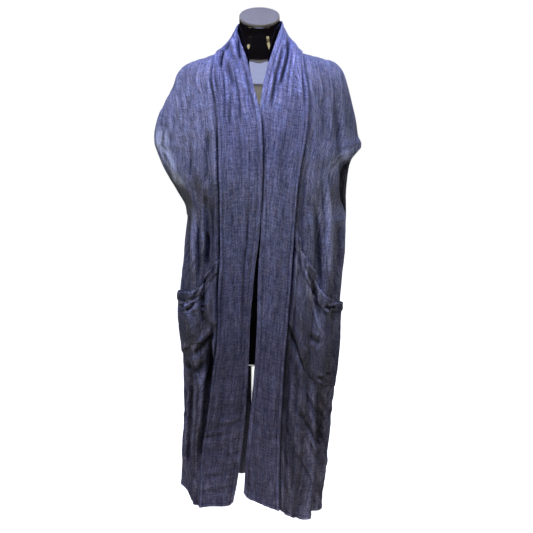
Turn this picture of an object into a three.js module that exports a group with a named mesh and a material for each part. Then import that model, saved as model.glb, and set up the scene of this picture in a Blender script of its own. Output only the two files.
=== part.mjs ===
// Long sleeveless duster coat in doubled gauze, hung open on a limbless dress form with its pole and base.
// Millimetres, +Z up, front towards -Y. The origin is on the floor under the form's axis.
// Around the coat, phi runs from 0 at the front centre over +90 at its left side seam (+X) to 180 at the back.
import * as THREE from 'three';

// Driving dimensions
const WALL = 2; // doubled gauze of the panels
const BAND_WALL = 2.8; // front band and collar, folded double
const POCKET_WALL = 1.8;
const GAP = 0.3; // between two sewn pieces
const LAP = 0.95; // between a panel and the pocket sewn on it
const HEM = 200; // mean height of the hem
const UNDERARM = 1005;
const TIP = 1196; // lowest point of the shoulder edge
const TOP = 1424; // where band, front and back meet beside the neck
const NECK_HALF = 110; // half width and depth of the back neckline
const NECK_DEPTH = 78;
const NECK_RISE = 8;
const NECK_RUN = 150; // length of half the back neckline
const NECK_BLEND = 60; // height over which the back rises to the neckline
const SEAT = 2.6; // how far the form's shoulder lies under the coat's outside
const FORM_BOTTOM = 600;
const POLE_RADIUS = 25;
const BASE_RADIUS = 182;
const BASE_THICK = 12;
const CAP_THICK = 8;
const CAP_CENTRE = 1508; // underside of the neck cap, on the form's axis
const CAP_RADIUS = 49;
const CAP_TILT = THREE.MathUtils.degToRad(24);
const NECK_LEAN = -4; // how far the neck stands forward, from the shoulders up to its full lean
const LEAN_FROM = 1400;
const LEAN_TO = 1475;

// Half widths, depths and roundness of the coat by height. An exponent of 2 is an ellipse.
const COAT = [
  { z: 140, right: 217, left: 168, front: 142, back: 104, round: 2.2 },
  { z: 225, right: 218, left: 174, front: 141, back: 104, round: 2.2 },
  { z: 325, right: 214, left: 184, front: 139, back: 103, round: 2.2 },
  { z: 440, right: 206, left: 192, front: 137, back: 102, round: 2.2 },
  { z: 600, right: 208, left: 203, front: 134, back: 100, round: 2.25 },
  { z: 700, right: 209, left: 209, front: 132, back: 99, round: 2.3 },
  { z: 770, right: 212, left: 212, front: 131, back: 98, round: 2.3 },
  { z: 835, right: 208, left: 217, front: 131, back: 97, round: 2.3 },
  { z: 935, right: 199, left: 228, front: 132, back: 97, round: 2.3 },
  { z: 1005, right: 192, left: 229, front: 134, back: 98, round: 2.25 },
  { z: 1111, right: 240, left: 234, front: 138, back: 103, round: 2 },
  { z: 1196, right: 275, left: 265, front: 133, back: 106, round: 1.6 },
  { z: 1215, right: 275, left: 257, front: 131, back: 106, round: 1.55 },
  { z: 1256, right: 267, left: 250, front: 122, back: 106, round: 1.55 },
  { z: 1299, right: 246, left: 239, front: 109, back: 104, round: 1.65 },
  { z: 1340, right: 224, left: 228, front: 95, back: 100, round: 1.8 },
  { z: 1375, right: 209, left: 216, front: 79, back: 94, round: 1.95 },
  { z: 1391, right: 196, left: 204, front: 70, back: 90, round: 2 },
  { z: 1403, right: 172, left: 187, front: 61, back: 86, round: 2.1 },
  { z: 1412, right: 142, left: 158, front: 51, back: 82, round: 2.2 },
  { z: 1419, right: 126, left: 129, front: 45, back: 80, round: 2.3 },
  { z: TOP, right: NECK_HALF, left: NECK_HALF, front: 40, back: NECK_DEPTH, round: 2.4 },
];

// The open edges of the two armholes by height: x and y of the front edge and of the back edge
const ARMHOLE_RIGHT = [
  { z: 1005, frontX: 192, frontY: 0, backX: 192, backY: 0 },
  { z: 1030, frontX: 194, frontY: -20, backX: 197, backY: 24 },
  { z: 1080, frontX: 215, frontY: -42, backX: 208, backY: 52 },
  { z: 1111, frontX: 232, frontY: -46, backX: 218, backY: 58 },
  { z: 1141, frontX: 249, frontY: -38, backX: 232, backY: 52 },
  { z: 1170, frontX: 263, frontY: -22, backX: 250, backY: 30 },
  { z: 1196, frontX: 275, frontY: 0, backX: 275, backY: 0 },
];
const ARMHOLE_LEFT = [
  { z: 1005, frontX: 229, frontY: 0, backX: 229, backY: 0 },
  { z: 1030, frontX: 219, frontY: -26, backX: 230, backY: 22 },
  { z: 1080, frontX: 207, frontY: -60, backX: 232, backY: 46 },
  { z: 1111, frontX: 206, frontY: -66, backX: 235, backY: 52 },
  { z: 1141, frontX: 215, frontY: -56, backX: 242, backY: 46 },
  { z: 1168, frontX: 242, frontY: -38, backX: 257, backY: 28 },
  { z: 1183, frontX: 258, frontY: -20, backX: 266, backY: 14 },
  { z: 1196, frontX: 265, frontY: 0, backX: 265, backY: 0 },
];

// Distance of the band seams from the centre, by height
const SEAMS = [
  { z: 140, right: 171, left: 55 },
  { z: 267, right: 168, left: 55 },
  { z: 386, right: 158, left: 56 },
  { z: 459, right: 146, left: 58 },
  { z: 531, right: 136, left: 62 },
  { z: 616, right: 126, left: 66 },
  { z: 686, right: 115, left: 72 },
  { z: 809, right: 112, left: 80 },
  { z: 942, right: 104, left: 88 },
  { z: 1072, right: 103, left: 96 },
  { z: 1148, right: 104, left: 105 },
  { z: 1245, right: 106, left: 122 },
  { z: 1305, right: 110, left: 125 },
  { z: 1375, right: 121, left: 117 },
  { z: TOP, right: NECK_HALF, left: NECK_HALF },
];

// The bands' free edges, against the height of the seam beside them. Past TOP the run goes round the neck.
const EDGES = [
  { run: 140, right: -82, left: -52, y: -112, zRight: 160, zLeft: 180 },
  { run: 200, right: -73, left: -45, y: -114, zRight: 212, zLeft: 232 },
  { run: 330, right: -55, left: -39, y: -118, zRight: 335, zLeft: 338 },
  { run: 450, right: -42, left: -29, y: -122, zRight: 450, zLeft: 450 },
  { run: 600, right: -31, left: -15, y: -126, zRight: 600, zLeft: 600 },
  { run: 740, right: -25, left: -7, y: -129, zRight: 740, zLeft: 740 },
  { run: 870, right: -14, left: -4, y: -132, zRight: 870, zLeft: 870 },
  { run: 1000, right: 1, left: 4, y: -137, zRight: 1000, zLeft: 1000 },
  { run: 1123, right: 4, left: 7, y: -142, zRight: 1123, zLeft: 1123 },
  { run: 1196, right: 4, left: 8, y: -138, zRight: 1196, zLeft: 1196 },
  { run: 1281, right: -3, left: 4, y: -119, zRight: 1281, zLeft: 1281 },
  { run: 1345, right: -15, left: 10, y: -98, zRight: 1350, zLeft: 1352 },
  { run: 1382, right: -24, left: 19, y: -82, zRight: 1390, zLeft: 1394 },
  { run: 1405, right: -33, left: 30, y: -68, zRight: 1424, zLeft: 1430 },
  { run: TOP, right: -50, left: 44, y: -44, zRight: 1462, zLeft: 1472 },
  { run: 1452, right: -56, left: 55, y: -12, zRight: 1490, zLeft: 1502 },
  { run: 1482, right: -55, left: 57, y: 22, zRight: 1504, zLeft: 1512 },
  { run: 1515, right: -38, left: 40, y: 50, zRight: 1508, zLeft: 1512 },
  { run: 1545, right: -18, left: 18, y: 62, zRight: 1510, zLeft: 1511 },
  { run: 1574, right: 0, left: 0, y: 65, zRight: 1510, zLeft: 1510 },
];
// How far the middle of a band stands out from the line between its two edges
const BULGE = [
  { run: 140, out: 9 },
  { run: 600, out: 8 },
  { run: 1000, out: 9 },
  { run: 1250, out: 8 },
  { run: 1345, out: 9 },
  { run: 1405, out: 7 },
  { run: 1452, out: 1 },
  { run: 1574, out: -3 },
];

// Height of the hem around the coat
const HEMLINE = [
  { phi: -180, z: 192 },
  { phi: -120, z: 192 },
  { phi: -90, z: 190 },
  { phi: -60, z: 188 },
  { phi: -40, z: 192 },
  { phi: 0, z: 205 },
  { phi: 15, z: 205 },
  { phi: 24, z: 176 },
  { phi: 45, z: 158 },
  { phi: 70, z: 160 },
  { phi: 90, z: 178 },
  { phi: 130, z: 194 },
  { phi: 180, z: 192 },
];
const HEM_FADE = 160; // height over which the hem's waves fade out

// Hanging folds: phi at the upper and lower end, the heights of both, width in degrees and depth.
// A positive depth is a ridge, a negative one a groove.
const FOLDS = [
  { from: -42, to: -47, high: 1260, low: 120, wide: 5, deep: -9 },
  { from: -52, to: -56, high: 1230, low: 120, wide: 6, deep: 10 },
  { from: -62, to: -66, high: 1040, low: 120, wide: 5, deep: -9 },
  { from: -74, to: -77, high: 1000, low: 120, wide: 6, deep: 8 },
  { from: -88, to: -90, high: 940, low: 120, wide: 6, deep: -6 },
  { from: -100, to: -103, high: 1110, low: 120, wide: 7, deep: 8 },
  { from: -113, to: -117, high: 1290, low: 120, wide: 6, deep: -11 },
  { from: -126, to: -130, high: 1240, low: 120, wide: 7, deep: 11 },
  { from: -140, to: -143, high: 1180, low: 120, wide: 5, deep: -8 },
  { from: -152, to: -155, high: 1330, low: 120, wide: 7, deep: 9 },
  { from: -168, to: -167, high: 1220, low: 120, wide: 5, deep: -9 },
  { from: 178, to: 180, high: 1340, low: 120, wide: 7, deep: 10 },
  { from: 163, to: 165, high: 1150, low: 120, wide: 5, deep: -8 },
  { from: 151, to: 152, high: 1310, low: 120, wide: 7, deep: 10 },
  { from: 138, to: 137, high: 1200, low: 120, wide: 6, deep: -11 },
  { from: 124, to: 123, high: 1270, low: 120, wide: 7, deep: 9 },
  { from: 110, to: 112, high: 1100, low: 120, wide: 5, deep: -8 },
  { from: 98, to: 97, high: 980, low: 120, wide: 6, deep: 7 },
  { from: 84, to: 85, high: 960, low: 120, wide: 5, deep: -7 },
  { from: 73, to: 74, high: 1080, low: 120, wide: 6, deep: 9 },
  { from: 61, to: 62, high: 1130, low: 120, wide: 5, deep: -9 },
  { from: 50, to: 49, high: 1180, low: 120, wide: 5, deep: 10 },
  { from: 38, to: 38, high: 1160, low: 120, wide: 5, deep: -11 },
];
const FOLD_START = 0.3; // share of a fold's run over which it deepens
const FOLD_AT_HEM = 1.35; // how much deeper a fold is at its lower end
const BAND_FOLD_END = 0.22; // share of a band fold's run over which either end fades
const FOLD_EASE = 26; // folds are flat within this distance of the band seam
// The deep troughs right beside the two band seams
const TROUGH_WIDE = 17;
const TROUGHS = [
  { z: 120, right: -26, left: -20 },
  { z: 330, right: -24, left: -19 },
  { z: 650, right: -18, left: -17 },
  { z: 860, right: -8, left: -12 },
  { z: 1000, right: -9, left: -14 },
  { z: 1120, right: -8, left: -12 },
  { z: 1250, right: -3, left: -5 },
  { z: 1380, right: 0, left: 0 },
];
const STAND_FROM = 1385; // between these runs the band turns up from the chest into the collar
const STAND_TO = 1415;
const SEWN_SHARE = 0.3; // share of a band's width over which it leaves the panel's slope
// Soft folds along the bands: place across the band, 0 at the seam, at the two ends of the run, and depth
const BAND_FOLDS = {
  left: [
    { from: 0.86, to: 0.55, low: 1130, high: 1500, wide: 0.1, deep: -4 },
    { from: 0.55, to: 0.3, low: 1180, high: 1480, wide: 0.1, deep: 4 },
    { from: 0.35, to: 0.5, low: 150, high: 980, wide: 0.14, deep: 2.5 },
  ],
  right: [
    { from: 0.3, to: 0.62, low: 1150, high: 1480, wide: 0.1, deep: -4 },
    { from: 0.65, to: 0.85, low: 1200, high: 1490, wide: 0.1, deep: 3.5 },
    { from: 0.8, to: 0.7, low: 240, high: 960, wide: 0.12, deep: 2.5 },
  ],
};

// Patch pockets: mouth and bottom heights, against the place across the panel, 0 at the band seam
const POCKETS = {
  left: [
    { u: 0.02, mouth: 982, bottom: 740 },
    { u: 0.1, mouth: 938, bottom: 690 },
    { u: 0.22, mouth: 880, bottom: 622 },
    { u: 0.335, mouth: 836, bottom: 582 },
    { u: 0.455, mouth: 803, bottom: 560 },
    { u: 0.65, mouth: 782, bottom: 543 },
    { u: 0.86, mouth: 773, bottom: 530 },
    { u: 0.985, mouth: 768, bottom: 522 },
  ],
  right: [
    { u: 0.02, mouth: 912, bottom: 740 },
    { u: 0.124, mouth: 884, bottom: 705 },
    { u: 0.22, mouth: 855, bottom: 688 },
    { u: 0.3, mouth: 835, bottom: 680 },
    { u: 0.41, mouth: 818, bottom: 670 },
    { u: 0.71, mouth: 806, bottom: 645 },
    { u: 0.985, mouth: 799, bottom: 628 },
  ],
};
const POCKET_BELLY = 17; // how far a pocket's middle stands off the panel
const SIDE_BELLY = 0.35; // share of that near the side seam
const SIDE_ROUND = 0.75; // exponents that round its sides and its mouth
const MOUTH_ROUND = 6;
const BELLY_TOP = 0.9; // share of a half wave that the belly takes from bottom to mouth
const MOUTH_OPEN = 13; // how far its mouth stands off
const CASING = 24; // height of the gathered casing along the mouth
const CASING_EDGE = 6; // half the height of the slope at its lower edge
const CASING_THICK = 1.4; // how much thicker the casing is
const GATHERS = 8; // along each mouth
const GATHER_DEEP = 1.3;

// Cross-sections of the dress form
const FORM = [
  { z: FORM_BOTTOM, half: 128, front: 72, back: 66, round: 2.1 },
  { z: 604, half: 140, front: 82, back: 73, round: 2.1 },
  { z: 620, half: 150, front: 90, back: 78, round: 2.1 },
  { z: 680, half: 161, front: 98, back: 80, round: 2.1 },
  { z: 780, half: 168, front: 103, back: 80, round: 2.1 },
  { z: 850, half: 164, front: 104, back: 78, round: 2.1 },
  { z: 930, half: 142, front: 98, back: 72, round: 2.1 },
  { z: 1010, half: 122, front: 92, back: 69, round: 2.1 },
  { z: 1080, half: 134, front: 102, back: 76, round: 2.1 },
  { z: 1160, half: 148, front: 120, back: 83, round: 2.1 },
  { z: 1230, half: 160, front: 112, back: 92, round: 2 },
  { z: 1290, half: 180, front: 96, back: 90, round: 1.9 },
  { z: 1330, half: 192, front: 83, back: 85, round: 1.8 },
  { z: 1360, half: 195, front: 73, back: 80, round: 1.75 },
  { z: 1372, half: 194, front: 68, back: 77, round: 1.7 },
  { z: 1382.1, half: 190, front: 64, back: 74, round: 1.67 },
  { z: 1391.5, half: 186, front: 60, back: 70, round: 1.62 },
  { z: 1400.8, half: 188, front: 57, back: 67, round: 1.58 },
  { z: 1406.8, half: 168, front: 55, back: 63, round: 1.55 },
  { z: 1412.8, half: 150, front: 53, back: 59, round: 1.58 },
  { z: 1423, half: 94, front: 52, back: 54, round: 1.75 },
  { z: 1434, half: 70, front: 51, back: 52, round: 1.9 },
  { z: 1450, half: 56, front: 50, back: 49, round: 2 },
  { z: 1475, half: 50, front: 50, back: 48, round: 2 },
];
const FORM_SIDES = 28;

// Rows of the panels between the named heights, and their columns
const ROWS = [
  { to: UNDERARM, steps: 12 },
  { to: TIP, steps: 5 },
  { to: 1375, steps: 5 },
  { to: 1403, steps: 3 },
  { to: 1421, steps: 3 },
];
const FRONT_COLUMNS = 16;
const BACK_COLUMNS = 26;
const BAND_COLUMNS = 6;
const POCKET_SPLIT = 2; // pocket columns for each panel column
const POCKET_ROWS = 7;

const RIGHT_ANGLE = 90;
const STEP_PHI = 1.5; // steps for measuring slopes
const STEP_Z = 2;
const STEP_RUN = 3;
const STEP_ACROSS = 0.02;

const rad = THREE.MathUtils.degToRad;
const clamp = THREE.MathUtils.clamp;
const lerp = THREE.MathUtils.lerp;
const smooth = THREE.MathUtils.smoothstep;
const bell = (d) => Math.exp(-d * d);
const power = (value, exponent) => Math.sign(value) * Math.abs(value) ** exponent;

// Value of one column of a table, along a curve that doesn't overshoot its rows
function at(table, by, column, value) {
  const last = table.length - 1;
  if (value <= table[0][by]) return table[0][column];
  if (value >= table[last][by]) return table[last][column];
  let i = 0;
  while (table[i + 1][by] < value) i += 1;
  const slope = (k) => (table[k + 1][column] - table[k][column]) / (table[k + 1][by] - table[k][by]);
  const tangent = (k) => {
    if (k === 0 || k === last) return slope(Math.min(k, last - 1));
    const [a, b] = [slope(k - 1), slope(k)];
    return a * b <= 0 ? 0 : (2 * a * b) / (a + b);
  };
  const wide = table[i + 1][by] - table[i][by];
  const t = (value - table[i][by]) / wide;
  const [p, q] = [table[i][column], table[i + 1][column]];
  const [m, n] = [tangent(i) * wide, tangent(i + 1) * wide];
  return p + t * (m + t * (3 * (q - p) - 2 * m - n + t * (2 * (p - q) + m + n)));
}

const sideName = (side) => (side > 0 ? 'left' : 'right');
const armhole = (side) => (side > 0 ? ARMHOLE_LEFT : ARMHOLE_RIGHT);
const inArmhole = (z) => z > UNDERARM && z < TIP;

// Half width of the closed loop that passes through a panel's outer edge at this height
function halfWidth(side, z, panel) {
  if (!inArmhole(z)) return at(COAT, 'z', sideName(side), z);
  const x = at(armhole(side), 'z', `${panel}X`, z);
  const y = Math.abs(at(armhole(side), 'z', `${panel}Y`, z));
  const round = at(COAT, 'z', 'round', z);
  return x / (1 - (y / at(COAT, 'z', panel, z)) ** round) ** (1 / round);
}

// The coat's surface without folds
function body(phi, z, panel) {
  const side = Math.sin(rad(phi)) >= 0 ? 1 : -1;
  const forward = Math.cos(rad(phi));
  const round = at(COAT, 'z', 'round', z);
  const depth = at(COAT, 'z', forward > 0 ? 'front' : 'back', z);
  const x = halfWidth(side, z, panel) * power(Math.sin(rad(phi)), 2 / round);
  const y = -depth * power(forward, 2 / round);
  const rise = forward < 0 ? -forward * NECK_RISE * smooth(z, TOP - NECK_BLEND, TOP) : 0;
  return new THREE.Vector3(x, y, z + rise);
}

function bodyNormal(phi, z, panel) {
  const across = body(phi + STEP_PHI, z, panel).sub(body(phi - STEP_PHI, z, panel));
  const up = body(phi, Math.min(z + STEP_Z, TOP), panel).sub(body(phi, z - STEP_Z, panel));
  return across.cross(up).normalize();
}

// phi of the point of a loop that lies x from the centre
function phiOf(x, side, z, panel) {
  const share = clamp(Math.abs(x) / halfWidth(side, z, panel), 0, 1);
  return side * THREE.MathUtils.radToDeg(Math.asin(share ** (at(COAT, 'z', 'round', z) / 2)));
}

function edgePhi(side, z, panel) {
  if (!inArmhole(z)) return side * RIGHT_ANGLE;
  const phi = phiOf(at(armhole(side), 'z', `${panel}X`, z), side, z, panel);
  return panel === 'front' ? phi : side * 2 * RIGHT_ANGLE - phi;
}

const seamPhi = (side, z) => phiOf(at(SEAMS, 'z', sideName(side), z), side, z, 'front');

function turned(phi) {
  return ((phi + 540) % 360) - 180;
}

function folds(phi, z) {
  let total = 0;
  for (const fold of FOLDS) {
    const share = clamp((fold.high - z) / (fold.high - fold.low), 0, 1);
    const away = turned(phi - lerp(fold.from, fold.to, share)) / fold.wide;
    total += fold.deep * smooth(share, 0, FOLD_START) * lerp(1, FOLD_AT_HEM, share) * bell(away);
  }
  return total;
}

function frontFolds(phi, z, side) {
  const away = body(phi, z, 'front').distanceTo(body(seamPhi(side, z), z, 'front'));
  const trough = at(TROUGHS, 'z', sideName(side), z) * bell(away / TROUGH_WIDE - 1);
  return (folds(phi, z) + trough) * smooth(away, 0, FOLD_EASE);
}

function rowHeights() {
  const heights = [HEM];
  for (const { to, steps } of ROWS) {
    const from = heights.at(-1);
    for (let i = 1; i <= steps; i += 1) heights.push(lerp(from, to, i / steps));
  }
  return heights;
}

// The hem's waves lift or drop the lowest rows
function hemmed(phi, z) {
  const drop = at(HEMLINE, 'phi', 'z', turned(phi)) - HEM;
  return z + drop * smooth(HEM + HEM_FADE - z, 0, HEM_FADE);
}

// Moves one border of a grid of points towards the row or column beside it, to open the seam
function inset(grid, along, index, beside) {
  const count = along === 'row' ? grid[0].length : grid.length;
  for (let k = 0; k < count; k += 1) {
    const [edge, next] = along === 'row' ? [grid[index][k], grid[beside][k]] : [grid[k][index], grid[k][beside]];
    const way = next.point.clone().sub(edge.point);
    edge.point.addScaledVector(way.normalize(), GAP / 2);
  }
}

function frontGrid(side) {
  return rowHeights().map((level) => {
    const row = [];
    for (let j = 0; j <= FRONT_COLUMNS; j += 1) {
      const flatPhi = lerp(seamPhi(side, level), edgePhi(side, level, 'front'), j / FRONT_COLUMNS);
      const z = hemmed(flatPhi, level);
      const phi = lerp(seamPhi(side, z), edgePhi(side, z, 'front'), j / FRONT_COLUMNS);
      const normal = bodyNormal(phi, z, 'front');
      const point = body(phi, z, 'front').addScaledVector(normal, frontFolds(phi, z, side));
      row.push({ point, normal });
    }
    return row;
  });
}

function backGrid() {
  const heights = [...rowHeights(), TOP];
  return heights.map((level) => {
    const row = [];
    for (let j = 0; j <= BACK_COLUMNS; j += 1) {
      const share = j / BACK_COLUMNS;
      const side = share < 0.5 ? 1 : -1;
      const edge = Math.abs(edgePhi(side, level, 'back'));
      const phi = side * lerp(edge, 2 * RIGHT_ANGLE, 1 - Math.abs(1 - 2 * share));
      const z = hemmed(phi, level);
      const normal = bodyNormal(phi, z, 'back');
      row.push({ point: body(phi, z, 'back').addScaledVector(normal, folds(phi, z)), normal });
    }
    return row;
  });
}

// The band's sewn edge: up the front, over the shoulder and along the back neckline
function seamPoint(side, run) {
  if (run <= TOP) return body(seamPhi(side, run), run, 'front');
  const phi = side * (RIGHT_ANGLE + (RIGHT_ANGLE * (run - TOP)) / NECK_RUN);
  return body(phi, TOP, 'back');
}

function edgePoint(side, run) {
  const name = sideName(side);
  const x = at(EDGES, 'run', name, run);
  return new THREE.Vector3(x, at(EDGES, 'run', 'y', run), at(EDGES, 'run', side > 0 ? 'zLeft' : 'zRight', run));
}

function bandFold(side, run, across) {
  let total = 0;
  for (const fold of BAND_FOLDS[sideName(side)]) {
    const share = clamp((run - fold.low) / (fold.high - fold.low), 0, 1);
    const ends = smooth(share, 0, BAND_FOLD_END) * smooth(1 - share, 0, BAND_FOLD_END);
    total += fold.deep * ends * bell((across - lerp(fold.from, fold.to, share)) / fold.wide);
  }
  return total * smooth(across, 0, BAND_FOLD_END);
}

function bandFlat(side, run, across) {
  return seamPoint(side, run).lerp(edgePoint(side, run), across);
}

function bandNormal(side, run, across) {
  const low = bandFlat(side, Math.max(run - STEP_RUN, 0), across);
  const high = bandFlat(side, Math.min(run + STEP_RUN, TOP + NECK_RUN), across);
  const chord = bandFlat(side, run, across + STEP_ACROSS).sub(bandFlat(side, run, across - STEP_ACROSS));
  const normal = high.sub(low).cross(chord).multiplyScalar(side);
  if (run >= TOP + NECK_RUN) normal.x = 0; // the two bands meet square at the centre back
  return normal.normalize();
}

// The band's rows meet the rows of the front and the columns of the back neckline point for point
function bandGrid(side) {
  const runs = rowHeights().map((level) => hemmed(seamPhi(side, level), level));
  const half = BACK_COLUMNS / 2;
  for (let k = 0; k <= half; k += 1) runs.push(TOP + (NECK_RUN * k) / half);
  return runs.map((run) => {
    const row = [];
    const beside = Math.min(run, TOP);
    const sewn = bodyNormal(seamPhi(side, beside), beside, 'front');
    for (let j = 0; j <= BAND_COLUMNS; j += 1) {
      const across = j / BAND_COLUMNS;
      const own = bandNormal(side, run, across);
      const out = 4 * across * (1 - across) * at(BULGE, 'run', 'out', run) + bandFold(side, run, across);
      const point = bandFlat(side, run, across).addScaledVector(own, out);
      // beside the panel the wall stands square to the panel's surface, so that the two ends stay parallel
      const mix = Math.max(smooth(across, 0, SEWN_SHARE), smooth(run, STAND_FROM, STAND_TO));
      row.push({ point, normal: sewn.clone().lerp(own, mix).normalize() });
    }
    return row;
  });
}

// A closed wall from a grid of outer points and the directions that point out of it
function wall(grid, thickness) {
  const [rows, columns] = [grid.length, grid[0].length];
  const positions = [];
  const index = [];
  const outside = (i, j) => i * columns + j;
  const inside = (i, j) => rows * columns + i * columns + j;
  for (const row of grid) for (const { point } of row) positions.push(...point);
  for (const row of grid) {
    for (const { point, normal, extra = 0 } of row) {
      positions.push(...point.clone().addScaledVector(normal, -thickness - extra));
    }
  }
  const quad = (a, b, c, d) => index.push(a, b, c, a, c, d);
  for (let i = 0; i < rows - 1; i += 1) {
    for (let j = 0; j < columns - 1; j += 1) {
      quad(outside(i, j), outside(i, j + 1), outside(i + 1, j + 1), outside(i + 1, j));
      quad(inside(i, j), inside(i + 1, j), inside(i + 1, j + 1), inside(i, j + 1));
    }
  }
  for (let j = 0; j < columns - 1; j += 1) {
    quad(outside(0, j), inside(0, j), inside(0, j + 1), outside(0, j + 1));
    quad(outside(rows - 1, j + 1), inside(rows - 1, j + 1), inside(rows - 1, j), outside(rows - 1, j));
  }
  for (let i = 0; i < rows - 1; i += 1) {
    quad(outside(i, 0), outside(i + 1, 0), inside(i + 1, 0), inside(i, 0));
    quad(outside(i, columns - 1), inside(i, columns - 1), inside(i + 1, columns - 1), outside(i + 1, columns - 1));
  }
  const geometry = new THREE.BufferGeometry();
  geometry.setAttribute('position', new THREE.Float32BufferAttribute(positions, 3));
  geometry.setIndex(index);
  return geometry;
}

// Grids run from the panel's right to its left when seen from outside, so one side is mirrored
const mirrored = (grid, side) => (side > 0 ? grid : grid.map((row) => [...row].reverse()));

// A point on the panel's own facets, at a place across it and a height
function onPanel(grid, u, z) {
  const column = u * (grid[0].length - 1);
  const j = Math.min(Math.floor(column), grid[0].length - 2);
  const between = (i, key) => grid[i][j][key].clone().lerp(grid[i][j + 1][key], column - j);
  let i = 0;
  while (i < grid.length - 2 && between(i + 1, 'point').z < z) i += 1;
  const [low, high] = [between(i, 'point'), between(i + 1, 'point')];
  const share = (z - low.z) / (high.z - low.z);
  return { point: low.lerp(high, share), normal: between(i, 'normal').lerp(between(i + 1, 'normal'), share).normalize() };
}

// How far a pocket stands off its panel: full in the middle, sewn down at the sides and the bottom
function pocketBelly(share, height) {
  const sides = Math.sin(Math.PI * share) ** SIDE_ROUND * lerp(1, SIDE_BELLY, share);
  const belly = POCKET_BELLY * Math.sin(Math.PI * height * BELLY_TOP) ** SIDE_ROUND * (1 - height ** MOUTH_ROUND);
  return sides * Math.max(belly, MOUTH_OPEN * height * height);
}

function pocketGrid(side, panel) {
  const shape = POCKETS[sideName(side)];
  const [from, to] = [shape[0].u, shape.at(-1).u];
  const columns = FRONT_COLUMNS * POCKET_SPLIT;
  const grid = [];
  for (let i = 0; i <= POCKET_ROWS; i += 1) {
    const height = i / POCKET_ROWS;
    const row = [];
    for (let k = 0; k <= columns; k += 1) {
      const u = clamp(k / columns, from, to);
      const share = (u - from) / (to - from);
      const mouth = at(shape, 'u', 'mouth', u);
      const z = lerp(at(shape, 'u', 'bottom', u), mouth, height);
      const casing = smooth(z, mouth - CASING - CASING_EDGE, mouth - CASING + CASING_EDGE);
      const gather = GATHER_DEEP * (1 + Math.cos(2 * Math.PI * GATHERS * share));
      const extra = casing * (CASING_THICK + gather);
      const { point, normal } = onPanel(panel, u, z);
      point.addScaledVector(normal, LAP + pocketBelly(share, height) + POCKET_WALL + extra);
      row.push({ point, normal, extra });
    }
    grid.push(row);
  }
  return grid;
}

// Rings of points joined into a closed body, with flat ends
function rings(loops) {
  const sides = loops[0].length;
  const positions = loops.flat().flatMap((point) => [...point]);
  const index = [];
  for (let i = 0; i < loops.length - 1; i += 1) {
    for (let j = 0; j < sides; j += 1) {
      const [a, b] = [i * sides + j, i * sides + ((j + 1) % sides)];
      index.push(a, b, b + sides, a, b + sides, a + sides);
    }
  }
  const top = (loops.length - 1) * sides;
  for (let j = 1; j < sides - 1; j += 1) {
    index.push(0, j + 1, j);
    index.push(top, top + j, top + j + 1);
  }
  const geometry = new THREE.BufferGeometry();
  geometry.setAttribute('position', new THREE.Float32BufferAttribute(positions, 3));
  geometry.setIndex(index);
  return geometry;
}

// The form keeps SEAT under the coat's shoulder line
function formHalf(side, z) {
  const own = at(FORM, 'z', 'half', z);
  if (z < TIP || z > TOP - SEAT) return own;
  return Math.min(own, at(COAT, 'z', sideName(side), z + SEAT));
}

function formLoop(z) {
  const loop = [];
  const round = at(FORM, 'z', 'round', z);
  const lean = NECK_LEAN * smooth(z, LEAN_FROM, LEAN_TO);
  for (let k = 0; k < FORM_SIDES; k += 1) {
    const phi = (2 * Math.PI * k) / FORM_SIDES;
    const side = Math.sin(phi) >= 0 ? 1 : -1;
    const depth = at(FORM, 'z', Math.cos(phi) > 0 ? 'front' : 'back', z);
    const x = formHalf(side, z) * power(Math.sin(phi), 2 / round);
    loop.push(new THREE.Vector3(x, lean - depth * power(Math.cos(phi), 2 / round), z));
  }
  return loop;
}

// A level ring of the neck laid into the slope of its cap
function capLoop(height) {
  const loop = [];
  for (let k = 0; k < FORM_SIDES; k += 1) {
    const phi = (2 * Math.PI * k) / FORM_SIDES;
    const y = -CAP_RADIUS * Math.cos(phi);
    const rise = Math.sin(CAP_TILT) * y;
    const shift = NECK_LEAN - height * Math.sin(CAP_TILT);
    loop.push(new THREE.Vector3(
      CAP_RADIUS * Math.sin(phi),
      shift + y * Math.cos(CAP_TILT),
      CAP_CENTRE + rise + height * Math.cos(CAP_TILT),
    ));
  }
  return loop;
}

function formTorso() {
  const rows = FORM.map(({ z }) => z);
  return rings([...rows.map(formLoop), capLoop(0)]);
}

function upright(radius, from, to) {
  const geometry = new THREE.CylinderGeometry(radius, radius, to - from, 32);
  geometry.rotateX(Math.PI / 2);
  geometry.translate(0, 0, (from + to) / 2);
  return geometry;
}

const cloth = new THREE.MeshStandardMaterial({ color: 0x4a5078, roughness: 0.95, metalness: 0 });
const bandCloth = new THREE.MeshStandardMaterial({ color: 0x4c5488, roughness: 0.95, metalness: 0 });
const gloss = new THREE.MeshStandardMaterial({ color: 0x08080a, roughness: 0.12, metalness: 0 });
const capPlate = new THREE.MeshStandardMaterial({ color: 0x77777f, roughness: 0.6, metalness: 0 });
const paint = new THREE.MeshStandardMaterial({ color: 0xe9e9e6, roughness: 0.4, metalness: 0 });

const group = new THREE.Group();

function add(name, geometry, material) {
  const mesh = new THREE.Mesh(geometry, material);
  mesh.name = name;
  group.add(mesh);
}

for (const side of [-1, 1]) {
  const name = sideName(side);
  const front = frontGrid(side);
  inset(front, 'column', 0, 1);
  inset(front, 'column', FRONT_COLUMNS, FRONT_COLUMNS - 1);
  add(`coat_front_${name}`, wall(mirrored(front, side), WALL), cloth);

  const band = bandGrid(side);
  inset(band, 'column', 0, 1);
  inset(band, 'row', band.length - 1, band.length - 2);
  add(`band_${name}`, wall(mirrored(band, -side), BAND_WALL), bandCloth);

  add(`pocket_${name}`, wall(mirrored(pocketGrid(side, front), side), POCKET_WALL), cloth);
}

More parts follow.
